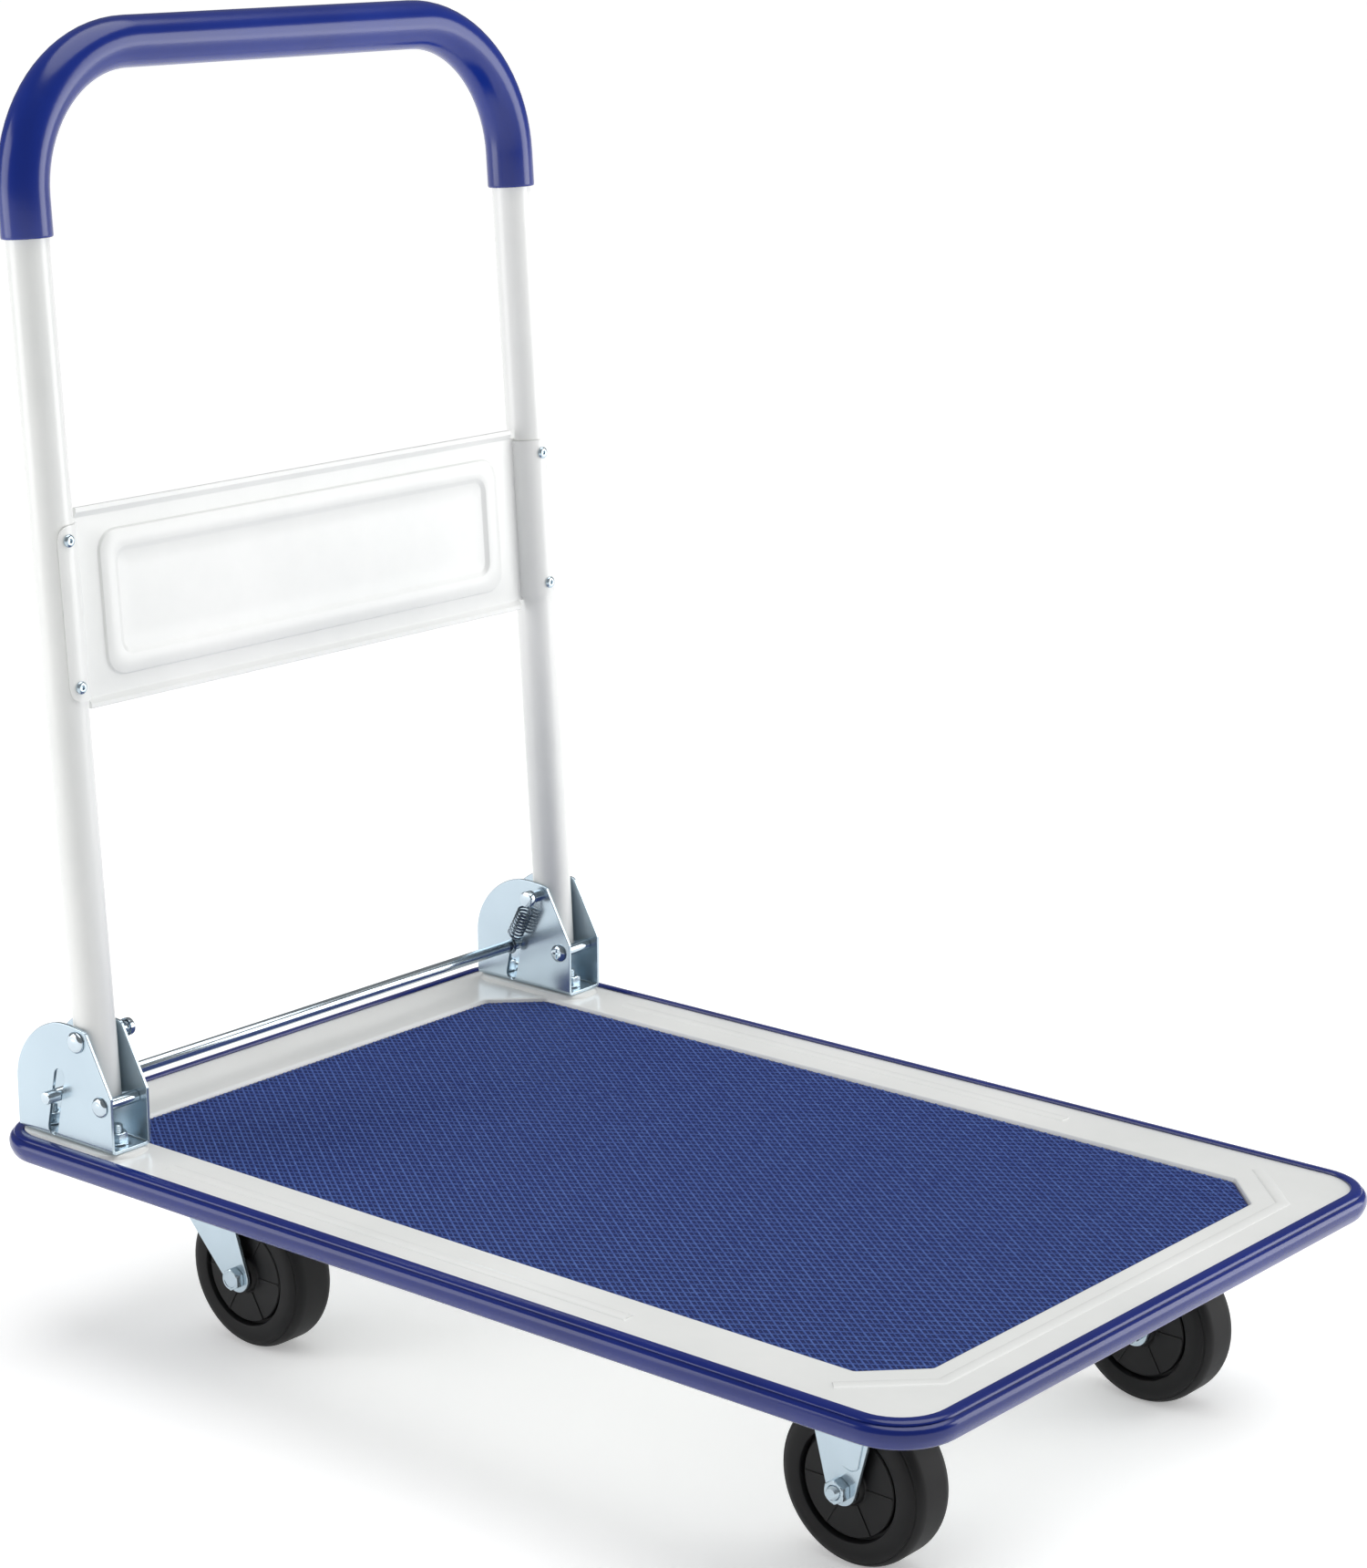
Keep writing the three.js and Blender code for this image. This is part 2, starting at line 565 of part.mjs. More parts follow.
// The bolt carries its head on the outside of the cart on the swivels and on the inside in front.
function axleBolt(headSide) {
  const reach = caster.legInner + caster.forkGauge + gap;
  const shank = rod(axle.radius, -reach - axle.nutHeight - axle.stub, reach + merge);
  const head = rod(axle.head, reach, reach + axle.headHeight, 6);
  return alongY(shank.add(head), 0, 0, 0, headSide);
}

function axleNut(headSide) {
  const reach = caster.legInner + caster.forkGauge + gap;
  const nut = rod(axle.nut, -reach - axle.nutHeight, -reach, 6)
    .subtract(rod(axle.radius + gap, -reach - axle.nutHeight - past, -reach + past));
  return alongY(nut, 0, 0, 0, headSide);
}

function wheelHub() {
  const [rim, boss] = [wheel.discWidth / 2, wheel.hubWidth / 2];
  const half = [
    [wheel.bore, -boss], [wheel.bossRadius, -boss],
    [wheel.bossRadius + wheel.bossSlope, -rim], [wheel.hubRadius, -rim],
  ];
  return alongY(turned([...half, ...half.map(([r, h]) => [r, -h]).reverse(), half[0]], 24), 0, 0, 0);
}

function wheelTyre() {
  const { radius, width, tyreInner, shoulder } = wheel;
  const half = [[tyreInner, -width / 2], [radius - shoulder, -width / 2]];
  for (const a of [30, 60, 90]) {
    const t = THREE.MathUtils.degToRad(a);
    half.push([radius - shoulder + shoulder * Math.sin(t), -width / 2 + shoulder - shoulder * Math.cos(t)]);
  }
  return alongY(turned([...half, ...half.map(([r, h]) => [r, -h]).reverse(), half[0]], 32), 0, 0, 0);
}

for (const [name, side] of sides) {
  const track = placed(0, side * wheel.track, 0);
  add(`rear_caster_plate_${name}`, swivelPlate(), "zinc", track);
  add(`king_pin_${name}`, kingPin(), "zinc", track);
  add(`rear_fork_${name}`, swivelFork(), "zinc", track);
  add(`front_fork_${name}`, rigidFork(), "zinc", track);
  for (const [end, x, headSide] of [["rear", wheel.rearX, side], ["front", wheel.frontX, -side]]) {
    const centre = placed(x, side * wheel.track, wheel.radius);
    add(`${end}_axle_bolt_${name}`, axleBolt(headSide), "zinc", centre);
    add(`${end}_axle_nut_${name}`, axleNut(headSide), "zinc", centre);
    add(`${end}_hub_${name}`, wheelHub(), "plastic", centre);
    add(`${end}_tyre_${name}`, wheelTyre(), "tread", centre);
  }
}

export default cart;
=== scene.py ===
import math

import bmesh
import bpy
from mathutils import Matrix, Vector


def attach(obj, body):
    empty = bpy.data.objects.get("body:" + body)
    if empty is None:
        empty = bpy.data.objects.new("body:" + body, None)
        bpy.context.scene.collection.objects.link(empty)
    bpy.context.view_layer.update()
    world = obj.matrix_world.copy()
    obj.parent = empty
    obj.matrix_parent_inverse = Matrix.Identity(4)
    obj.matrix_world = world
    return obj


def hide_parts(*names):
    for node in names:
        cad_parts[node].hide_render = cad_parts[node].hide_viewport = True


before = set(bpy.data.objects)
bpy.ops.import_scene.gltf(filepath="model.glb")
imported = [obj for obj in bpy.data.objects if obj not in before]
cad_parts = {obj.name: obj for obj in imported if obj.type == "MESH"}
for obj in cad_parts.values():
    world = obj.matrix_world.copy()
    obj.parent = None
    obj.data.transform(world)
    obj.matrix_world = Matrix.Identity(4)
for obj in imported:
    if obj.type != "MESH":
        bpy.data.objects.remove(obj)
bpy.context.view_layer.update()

scene = bpy.context.scene
mm = 0.001
sides = {"left": 1, "right": -1}  # left is +Y
print("frame loaded:", len(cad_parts), "nodes")

cameraSet = {
    "place": (1.4188, -1.6666, 0.9364),
    "back": (0.62523, -0.73986, 0.24843),
    "rollDegrees": -0.167,
    "lens": 85.24,
    "sensor": 36,
}


def placeCamera(setting):
    back = Vector(setting["back"]).normalized()
    level = Vector((0, 0, 1)).cross(back).normalized()
    rise = back.cross(level)
    roll = math.radians(setting["rollDegrees"])
    right = level * math.cos(roll) + rise * math.sin(roll)
    up = back.cross(right)
    turn = Matrix((right, up, back)).transposed().to_4x4()
    lens = bpy.data.cameras.new("studioCamera")
    lens.lens = setting["lens"]
    lens.sensor_width = setting["sensor"]
    lens.clip_end = 200
    holder = bpy.data.objects.new("studioCamera", lens)
    holder.matrix_world = Matrix.Translation(setting["place"]) @ turn
    scene.collection.objects.link(holder)
    scene.camera = holder


placeCamera(cameraSet)
scene.view_settings.view_transform = "Standard"


# Turns a printed 0-255 colour into the linear one that shaders use.
def linear(r, g, b):
    parts = [c / 255 for c in (r, g, b)]
    return [c / 12.92 if c < 0.04045 else ((c + 0.055) / 1.055) ** 2.4 for c in parts] + [1]


def link(name, mesh, smoothAngle=32):
    piece = bpy.data.objects.new(name, mesh)
    scene.collection.objects.link(piece)
    mesh.shade_smooth()
    mesh.set_sharp_from_angle(angle=math.radians(smoothAngle))
    return piece


# The mesh that an object has once its modifiers have run.
def baked(piece):
    return bpy.data.meshes.new_from_object(piece.evaluated_get(bpy.context.evaluated_depsgraph_get()))


# A closed mesh from points in millimetres, with doubles merged and faces turned outwards.
def solidFrom(name, points, faces, smoothAngle=32):
    mesh = bpy.data.meshes.new(name)
    mesh.from_pydata([[c * mm for c in p] for p in points], [], faces)
    tidyMesh(mesh)
    return link(name, mesh, smoothAngle)


def tidyMesh(mesh):
    work = bmesh.new()
    work.from_mesh(mesh)
    bmesh.ops.remove_doubles(work, verts=work.verts, dist=2e-6)
    bmesh.ops.dissolve_degenerate(work, edges=work.edges, dist=1e-6)
    bmesh.ops.recalc_face_normals(work, faces=work.faces)
    work.to_mesh(mesh)
    work.free()


# Gives a single skin the thickness of its sheet.
def thicken(skin, gauge, offset, evenly=False):
    wall = skin.modifiers.new("wall", "SOLIDIFY")
    wall.thickness = gauge * mm
    wall.offset = offset
    wall.use_even_offset = evenly
    mesh = baked(skin)
    skin.modifiers.remove(wall)
    skin.data = mesh


# Rings of equal count joined by quads, as a loop or with its two ends closed.
def loft(rings, loop=False, capFirst=True, capLast=True):
    count = len(rings[0])
    points = [p for ring in rings for p in ring]
    faces = []
    for i in range(len(rings) if loop else len(rings) - 1):
        a, b = i * count, ((i + 1) % len(rings)) * count
        for k in range(count):
            n = (k + 1) % count
            faces.append((a + k, a + n, b + n, b + k))
    if not loop:
        if capFirst:
            faces.append(tuple(range(count)))
        if capLast:
            faces.append(tuple(range(len(points) - count, len(points))))
    return points, faces


def joinPieces(name, pieces, smoothAngle=32):
    work = bmesh.new()
    for piece in pieces:
        work.from_mesh(piece.data)
        bpy.data.objects.remove(piece)
    mesh = bpy.data.meshes.new(name)
    work.to_mesh(mesh)
    work.free()
    return link(name, mesh, smoothAngle)


# Gives a piece its body, finish and the frame nodes that it stands for.
def settle(piece, body, finish, *nodes):
    piece.data.materials.clear()
    piece.data.materials.append(finishes[finish])
    for face in piece.data.polygons:
        face.material_index = 0
    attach(piece, body)
    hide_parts(*nodes)


def arc(cx, cy, r, fromDegrees, toDegrees, steps):
    turns = [math.radians(fromDegrees + (toDegrees - fromDegrees) * i / steps) for i in range(steps + 1)]
    return [(cx + r * math.cos(t), cy + r * math.sin(t)) for t in turns]


def roundHole(cx, cy, r):
    return arc(cx, cy, r, 0, 345, 23)


# A polygon with each corner rounded by its own radius.
def roundPolygon(corners, radii, steps=6):
    outline = []
    count = len(corners)
    for i, corner in enumerate(corners):
        here = Vector(corner)
        before = Vector(corners[i - 1]) - here
        after = Vector(corners[(i + 1) % count]) - here
        r = radii[i] if isinstance(radii, (list, tuple)) else radii
        if r <= 0:
            outline.append(tuple(here))
            continue
        half = before.angle(after) / 2
        reach = min(r / math.tan(half), before.length * 0.49, after.length * 0.49)
        a, b = here + before.normalized() * reach, here + after.normalized() * reach
        for k in range(steps + 1):
            t = k / steps
            outline.append(tuple(a * (1 - t) ** 2 + here * 2 * t * (1 - t) + b * t ** 2))
    return outline


# A rounded rectangle with the same count of points in each corner.
def roundRing(halfX, halfY, corner, cornerSteps=11):
    outline = []
    r = max(corner, 0.01)
    for cx, cy, start in ((halfX - r, -halfY + r, -90), (halfX - r, halfY - r, 0),
                          (-halfX + r, halfY - r, 90), (-halfX + r, -halfY + r, 180)):
        outline += arc(cx, cy, r, start, start + 90, cornerSteps)
    return outline


# A turned piece: profile points are (radius, height) along an axis through the centre.
def turned(name, profile, centre, axis="Y", side=1, segments=48, closed=False, smoothAngle=32):
    rings = []
    for r, h in profile:
        ring = []
        for k in range(segments):
            a = 2 * math.pi * k / segments
            u, v = r * math.cos(a), r * math.sin(a)
            offset = (u, side * h, v) if axis == "Y" else (u, v, side * h)
            ring.append([c + o for c, o in zip(centre, offset)])
        rings.append(ring)
    return solidFrom(name, *loft(rings, loop=closed), smoothAngle)


# A sheet blank cut to flat outlines, with its edges eased; the mesh stays in millimetres.
def cutBlank(loops, thickness, ease):
    curve = bpy.data.curves.new("blank", "CURVE")
    curve.dimensions = "2D"
    curve.fill_mode = "BOTH"
    curve.extrude = thickness / 2 - ease
    curve.bevel_depth = ease
    curve.bevel_resolution = 1
    curve.offset = -ease
    for loop in loops:
        spline = curve.splines.new("POLY")
        spline.points.add(len(loop) - 1)
        for point, (u, v) in zip(spline.points, loop):
            point.co = (u, v, 0, 1)
        spline.use_cyclic_u = True
    holder = bpy.data.objects.new("blank", curve)
    scene.collection.objects.link(holder)
    mesh = baked(holder)
    bpy.data.objects.remove(holder)
    bpy.data.curves.remove(curve)
    work = bmesh.new()
    work.from_mesh(mesh)
    bmesh.ops.remove_doubles(work, verts=work.verts, dist=0.002)
    work.to_mesh(mesh)
    work.free()
    return mesh


# Moves a blank into place: toPlace turns its (u, v, w) into millimetres in the row frame.
def setBlank(name, mesh, toPlace, smoothAngle=13):
    for vertex in mesh.vertices:
        vertex.co = [c * mm for c in toPlace(*vertex.co)]
    tidyMesh(mesh)
    return link(name, mesh, smoothAngle)


# A channel folded from one blank. Legs are drawn as (x, height above the bend's end) on each side of the web.
def foldedChannel(name, legOutline, holes, sheet, toPlace, ease=0.35, bendSteps=8):
    gauge, inner, outerHalf = sheet["gauge"], sheet["bend"], sheet["outerHalf"]
    outer, middle = inner + gauge, inner + gauge / 2
    flat = outerHalf - outer
    strip = math.pi / 2 * middle
    up = [(x, flat + strip + h) for x, h in legOutline]
    down = [(x, -u) for x, u in reversed(up)]
    loops = [up + down]
    for hole in holes:
        loops.append([(x, flat + strip + h) for x, h in hole])
        loops.append([(x, -flat - strip - h) for x, h in hole])
    for hole in sheet.get("webHoles", []):
        loops.append(hole)
    mesh = cutBlank(loops, gauge, ease)
    work = bmesh.new()
    work.from_mesh(mesh)
    for k in range(bendSteps + 1):
        for sign in (1, -1):
            place = sign * (flat + strip * k / bendSteps)
            everything = list(work.verts) + list(work.edges) + list(work.faces)
            bmesh.ops.bisect_plane(work, geom=everything, plane_co=(0, place, 0), plane_no=(0, 1, 0))
    work.to_mesh(mesh)
    work.free()

    def fold(x, u, w):  # w grows towards the inside of the channel
        sign = 1 if u >= 0 else -1
        past = abs(u) - flat
        if past <= 0:
            y, h = u, w + gauge / 2
        elif past < strip:
            a = past / middle
            y = sign * (flat + (middle - w) * math.sin(a))
            h = outer - (middle - w) * math.cos(a)
        else:
            y, h = sign * (flat + middle - w), outer + past - strip
        return toPlace(x, y, h)

    return setBlank(name, mesh, fold)


# Geometry node trees, each with named inputs for its sizes.
def newTree(name, inputs):
    tree = bpy.data.node_groups.new(name, "GeometryNodeTree")
    tree.interface.new_socket("Geometry", in_out="INPUT", socket_type="NodeSocketGeometry")
    for label, kind in inputs.items():
        tree.interface.new_socket(label, in_out="INPUT", socket_type="NodeSocket" + kind)
    tree.interface.new_socket("Geometry", in_out="OUTPUT", socket_type="NodeSocketGeometry")
    return tree, tree.nodes.new("NodeGroupInput").outputs


def addNode(tree, kind, inputs=None, **settings):
    node = tree.nodes.new(kind)
    for key, value in settings.items():
        setattr(node, key, value)
    for key, value in (inputs or {}).items():
        if isinstance(value, bpy.types.NodeSocket):
            tree.links.new(value, node.inputs[key])
        else:
            node.inputs[key].default_value = value
    return node


def closeTree(tree, shape, material):
    real = addNode(tree, "GeometryNodeRealizeInstances", {"Geometry": shape})
    coat = addNode(tree, "GeometryNodeSetMaterial", {"Geometry": real.outputs[0], "Material": material})
    addNode(tree, "NodeGroupOutput", {"Geometry": coat.outputs[0]})
    return tree


# Runs a tree on points and edges given in millimetres, and keeps its result as a plain mesh.
def grow(name, tree, sizes, points, edges=(), smoothAngle=32, toPlace=None):
    source = bpy.data.meshes.new(name + "Path")
    source.from_pydata([[c * mm for c in p] for p in points], edges, [])
    holder = bpy.data.objects.new(name + "Path", source)
    scene.collection.objects.link(holder)
    modifier = holder.modifiers.new("grow", "NODES")
    modifier.node_group = tree
    for item in tree.interface.items_tree:
        if item.item_type == "SOCKET" and item.in_out == "INPUT" and item.name in sizes:
            modifier[item.identifier] = sizes[item.name]
    mesh = baked(holder)
    holder.modifiers.remove(modifier)
    bpy.data.objects.remove(holder)
    if toPlace:
        mesh.transform(toPlace)
    return link(name, mesh, smoothAngle)


# A round wire along each run of edges.
def wireTree():
    tree, given = newTree("wireAlongPath", {"Radius": "Float", "Sides": "Int", "Material": "Material"})
    path = addNode(tree, "GeometryNodeMeshToCurve", {"Mesh": given["Geometry"]})
    ring = addNode(tree, "GeometryNodeCurvePrimitiveCircle",
                   {"Resolution": given["Sides"], "Radius": given["Radius"]})
    wire = addNode(tree, "GeometryNodeCurveToMesh",
                   {"Curve": path.outputs[0], "Profile Curve": ring.outputs[0], "Fill Caps": True})
    return closeTree(tree, wire.outputs[0], given["Material"])


# A low rib with an oval section along each run of edges, half sunk in the surface under it.
def ribTree():
    tree, given = newTree("ribAlongPath", {
        "Width": "Float", "Height": "Float", "Sides": "Int", "Material": "Material"})
    path = addNode(tree, "GeometryNodeMeshToCurve", {"Mesh": given["Geometry"]})
    level = addNode(tree, "GeometryNodeSetCurveNormal", {"Curve": path.outputs[0]}, mode="Z_UP")
    ring = addNode(tree, "GeometryNodeCurvePrimitiveCircle", {"Resolution": given["Sides"], "Radius": 1.0})
    halfWidth = addNode(tree, "ShaderNodeMath", {0: given["Width"], 1: 0.5}, operation="MULTIPLY")
    size = addNode(tree, "ShaderNodeCombineXYZ", {"X": halfWidth.outputs[0], "Y": given["Height"], "Z": 1.0})
    oval = addNode(tree, "GeometryNodeTransform", {"Geometry": ring.outputs[0], "Scale": size.outputs[0]})
    rib = addNode(tree, "GeometryNodeCurveToMesh",
                  {"Curve": level.outputs[0], "Profile Curve": oval.outputs[0], "Fill Caps": True})
    return closeTree(tree, rib.outputs[0], given["Material"])


# The same fastener at every point.
def fastenerTree():
    tree, given = newTree("fastenersAtPoints", {"Fastener": "Object", "Size": "Float", "Material": "Material"})
    pattern = addNode(tree, "GeometryNodeObjectInfo", {"Object": given["Fastener"]}, transform_space="ORIGINAL")
    spots = addNode(tree, "GeometryNodeMeshToPoints", {"Mesh": given["Geometry"]})
    copies = addNode(tree, "GeometryNodeInstanceOnPoints",
                     {"Points": spots.outputs[0], "Instance": pattern.outputs["Geometry"],
                      "Scale": given["Size"]})
    return closeTree(tree, copies.outputs[0], given["Material"])


# Straight spokes round the axis of a hub, on both of its faces.
def spokeTree():
    tree, given = newTree("spokesRoundHub", {
        "Count": "Int", "Middle": "Float", "Length": "Float", "Width": "Float", "Depth": "Float",
        "Material": "Material"})
    bar = addNode(tree, "ShaderNodeCombineXYZ",
                  {"X": given["Length"], "Y": given["Depth"], "Z": given["Width"]})
    block = addNode(tree, "GeometryNodeMeshCube", {"Size": bar.outputs[0]})
    reach = addNode(tree, "ShaderNodeCombineXYZ", {"X": given["Middle"]})
    placed = addNode(tree, "GeometryNodeTransform",
                     {"Geometry": block.outputs[0], "Translation": reach.outputs[0]})
    spots = addNode(tree, "GeometryNodeMeshLine", {"Count": given["Count"], "Offset": (0, 0, 0)})
    step = addNode(tree, "ShaderNodeMath", {0: math.tau, 1: given["Count"]}, operation="DIVIDE")
    number = addNode(tree, "GeometryNodeInputIndex")
    turn = addNode(tree, "ShaderNodeMath", {0: number.outputs[0], 1: step.outputs[0]}, operation="MULTIPLY")
    about = addNode(tree, "ShaderNodeCombineXYZ", {"Y": turn.outputs[0]})
    copies = addNode(tree, "GeometryNodeInstanceOnPoints",
                     {"Points": spots.outputs[0], "Instance": placed.outputs[0], "Rotation": about.outputs[0]})
    return closeTree(tree, copies.outputs[0], given["Material"])


trees = {"wire": wireTree(), "rib": ribTree(), "fastener": fastenerTree(), "spoke": spokeTree()}


# Copies of one fastener at the given spots.
def fastenAt(name, pattern, spots, smoothAngle=25):
    sizes = {"Fastener": pattern, "Size": 1.0, "Material": finishes["zincPlate"]}
    return grow(name, trees["fastener"], sizes, spots, smoothAngle=smoothAngle)


print("node trees built")

# Colours are 0-255, clouds and grain are counted per metre, and relief heights are in metres.
finishBase = {"metallic": 0.0, "coat": 0.0, "specular": 0.5, "glow": 0.0, "depth": 0.0002}
finishSet = {
    "whitePaint": {
        "slot": "white_paint", "light": (243, 244, 242), "deep": (232, 234, 232), "cloud": 7,
        "rough": (0.26, 0.36), "coat": 0.35, "grain": 850, "bump": 0.05,
    },
    "blueVinyl": {
        "slot": "blue_vinyl", "light": (14, 44, 138), "deep": (10, 37, 124), "cloud": 9,
        "rough": (0.17, 0.25), "coat": 0.05, "grain": 1100, "bump": 0.06,
    },
    "matVinyl": {
        "slot": "mat_vinyl", "light": (78, 106, 174), "deep": (46, 69, 140), "cloud": 260,
        "rough": (0.5, 0.64), "specular": 0.3, "grain": 1500, "bump": 0.3, "depth": 0.0004,
        # The darker valley colour is painted shade, mixed in by height between the raised threads.
        "valleyShade": (18, 35, 96), "valleyZ": 0.13265, "crestZ": 0.1332,
    },
    "zincPlate": {
        "slot": "zinc", "light": (196, 212, 222), "deep": (184, 200, 211), "cloud": 9, "metallic": 0.85,
        "rough": (0.22, 0.28), "grain": 700, "bump": 0.012, "depth": 0.0001,
    },
    "bumperVinyl": {
        "slot": "blue_vinyl", "light": (12, 36, 122), "deep": (9, 30, 106), "cloud": 9,
        "rough": (0.16, 0.23), "coat": 0.05, "grain": 1100, "bump": 0.05,
    },
    "polishedZinc": {
        "slot": "zinc", "light": (208, 220, 228), "deep": (190, 204, 214), "cloud": 14, "metallic": 0.95,
        "rough": (0.1, 0.17), "grain": 700, "bump": 0.01, "depth": 0.0001,
    },
    "springSteel": {
        "slot": "zinc", "light": (150, 162, 172), "deep": (104, 116, 126), "cloud": 40, "metallic": 0.95,
        "rough": (0.14, 0.24), "grain": 900, "bump": 0.02, "depth": 0.0001,
    },
    "blackPlastic": {
        "slot": "black_plastic", "light": (9, 9, 11), "deep": (5, 5, 7), "cloud": 30, "rough": (0.4, 0.52),
        "specular": 0.3, "grain": 1300, "bump": 0.12,
    },
    "blackRubber": {
        "slot": "black_rubber", "light": (9, 9, 11), "deep": (5, 5, 7), "cloud": 24, "rough": (0.5, 0.64),
        "specular": 0.3, "grain": 1600, "bump": 0.2,
    },
    "paleFloor": {
        "light": (250, 250, 250), "deep": (246, 246, 246), "cloud": 1.5, "rough": (0.75, 0.85),
        "specular": 0.1, "grain": 60, "bump": 0.02, "depth": 0.0005, "glow": 0.3,
    },
}


# Clouded colour, painted shade between raised threads where a finish asks for it, uneven gloss and a fine
# grain, all in the piece's own object space.
def mixFinish(name, given):
    look = {**finishBase, **given}
    material = bpy.data.materials.new(name)
    material.use_nodes = True
    tree = material.node_tree
    shader = tree.nodes["Principled BSDF"]
    plain = {"Metallic": look["metallic"], "Coat Weight": look["coat"], "Coat Roughness": 0.15,
             "Specular IOR Level": look["specular"], "Emission Color": (1, 1, 1, 1),
             "Emission Strength": look["glow"]}
    for socket, value in plain.items():
        shader.inputs[socket].default_value = value
    place = addNode(tree, "ShaderNodeTexCoord")
    cloud = addNode(tree, "ShaderNodeTexNoise",
                    {"Vector": place.outputs["Object"], "Scale": look["cloud"],
                     "Detail": 5.0, "Roughness": 0.6})
    ramp = addNode(tree, "ShaderNodeValToRGB", {"Fac": cloud.outputs["Fac"]})
    for stop, position, shade in zip(ramp.color_ramp.elements, (0.3, 0.7), ("deep", "light")):
        stop.position = position
        stop.color = linear(*look[shade])
    colour = ramp.outputs["Color"]
    if "valleyShade" in look:  # painted shade: the colour darkens between the raised threads, by height
        split = addNode(tree, "ShaderNodeSeparateXYZ", {0: place.outputs["Object"]})
        relief = addNode(tree, "ShaderNodeMapRange",
                         {"Value": split.outputs["Z"], "From Min": look["valleyZ"], "From Max": look["crestZ"]})
        valleyShadeBlend = addNode(tree, "ShaderNodeMix", {"Factor": relief.outputs[0]}, data_type="RGBA")
        valleyShadeBlend.inputs[6].default_value = linear(*look["valleyShade"])
        tree.links.new(colour, valleyShadeBlend.inputs[7])
        colour = valleyShadeBlend.outputs[2]
    tree.links.new(colour, shader.inputs["Base Color"])
    gloss = addNode(tree, "ShaderNodeMapRange",
                    {"Value": cloud.outputs["Fac"], "To Min": look["rough"][0], "To Max": look["rough"][1]})
    tree.links.new(gloss.outputs[0], shader.inputs["Roughness"])
    grain = addNode(tree, "ShaderNodeTexNoise",
                    {"Vector": place.outputs["Object"], "Scale": look["grain"], "Detail": 3.0})
    bump = addNode(tree, "ShaderNodeBump",
                   {"Height": grain.outputs["Fac"], "Strength": look["bump"], "Distance": look["depth"]})
    tree.links.new(bump.outputs["Normal"], shader.inputs["Normal"])
    return material


finishes = {name: mixFinish(name, look) for name, look in finishSet.items()}
print("finishes mixed")

deckSet = {
    "halfLength": 363.3, "halfWidth": 236.9, "corner": 33, "bottom": 122.6, "top": 134.9, "gauge": 1.6,
    "recess": 130.3, "matX": 5.9, "matHalfLength": 314.9, "matHalfWidth": 190.7, "matCut": 30,
    "matCutRound": 5, "padX": -306.85, "padY": 213.3, "padHalfLength": 47, "padHalfWidth": 18.5,
    "padCorner": 17, "ribWidth": 9, "ribHeight": 0.9, "ribSideY": 214, "ribFrom": -226, "ribTo": 150,
    "ribNoseX": 336.5, "ribNoseY": 172.7, "ribCornerX": 294.2, "ribCornerY": 213.9, "ribSink": 0.05,
    "rim": ((0, -2.2), (0.3, -1.1), (1.1, -0.3), (2.2, 0), (6, 0)),
    "recessLip": ((3, 0), (1.6, 0), (1.1, -0.25), (0.75, -0.8)),
    "recessFoot": ((0.35, 0.8), (0, 0.2), (-0.8, 0), (-12, 0)),
    "padLevels": ((2.4, -0.6), (1.9, 0.15), (0.7, 1.2), (0.1, 2.1), (-0.6, 2.5)), "padSideLimit": 1.6,
}


# The mat's outline: a rectangle with four cut corners, each cut slightly rounded at its ends.
def cutRing(grow, z):
    d = deckSet
    x, y = d["matHalfLength"] + grow, d["matHalfWidth"] + grow
    c = d["matCut"] + grow * (2 - math.sqrt(2))
    corners = [(x - c, -y), (x, -y + c), (x, y - c), (x - c, y),
               (-x + c, y), (-x, y - c), (-x, -y + c), (-x + c, -y)]
    return [(d["matX"] + u, v, z) for u, v in roundPolygon(corners, d["matCutRound"], 5)]


def deckRing(inset, z):
    d = deckSet
    outline = roundRing(d["halfLength"] - inset, d["halfWidth"] - inset, d["corner"] - inset)
    return [(u, v, z) for u, v in outline]


def ribPaths():
    d = deckSet
    runs = []
    for side in (1, -1):
        runs.append([(d["ribFrom"], side * d["ribSideY"]), (d["ribTo"], side * d["ribSideY"])])
    runs.append([(d["ribCornerX"], d["ribCornerY"]), (d["ribNoseX"], d["ribNoseY"]),
                 (d["ribNoseX"], -d["ribNoseY"]), (d["ribCornerX"], -d["ribCornerY"])])
    points, edges = [], []
    for run in runs:
        for k, (x, y) in enumerate(run):
            if k:
                edges.append((len(points) - 1, len(points)))
            points.append((x, y, d["top"] - d["ribSink"]))
    return points, edges


def buildDeck():
    d = deckSet
    rings = [deckRing(0, d["bottom"])] + [deckRing(inset, d["top"] + h) for inset, h in d["rim"]]
    rings += [cutRing(out, d["top"] + h) for out, h in d["recessLip"]]
    rings += [cutRing(out, d["recess"] + h) for out, h in d["recessFoot"]]
    skin = solidFrom("skin", *loft(rings, capFirst=False))
    thicken(skin, d["gauge"], -1, evenly=True)
    parts = [skin]
    for side in (1, -1):
        pad = []
        for out, h in d["padLevels"]:
            outline = roundRing(d["padHalfLength"] + out, d["padHalfWidth"] + min(out, d["padSideLimit"]),
                                d["padCorner"] + out)
            pad.append([(d["padX"] + u, side * d["padY"] + v, d["top"] + h) for u, v in outline])
        parts.append(solidFrom("pad", *loft(pad)))
    sizes = {"Width": d["ribWidth"] * mm, "Height": d["ribHeight"] * mm, "Sides": 16,
             "Material": finishes["whitePaint"]}
    points, edges = ribPaths()
    parts.append(grow("ribs", trees["rib"], sizes, points, edges))
    deck = joinPieces("deckPlate", parts)
    settle(deck, "deck", "whitePaint", "deck_plate")


buildDeck()
print("deck pressed")

matSet = {
    "low": 130.6, "top": 132.65, "edge": 0.35, "edgeRound": 0.5, "edgeEase": 0.15, "border": 1.2,
    "pitch": 6.28, "sink": 0.08, "sides": 8,
    "threads": {  # lie in degrees, shift as a share of the pitch, width and height
        "cord": (-35.5, 0, 1.7, 0.72), "fine": (-35.5, 0.5, 1.2, 0.55), "rung": (35.5, 0, 2.1, 0.62),
    },
}


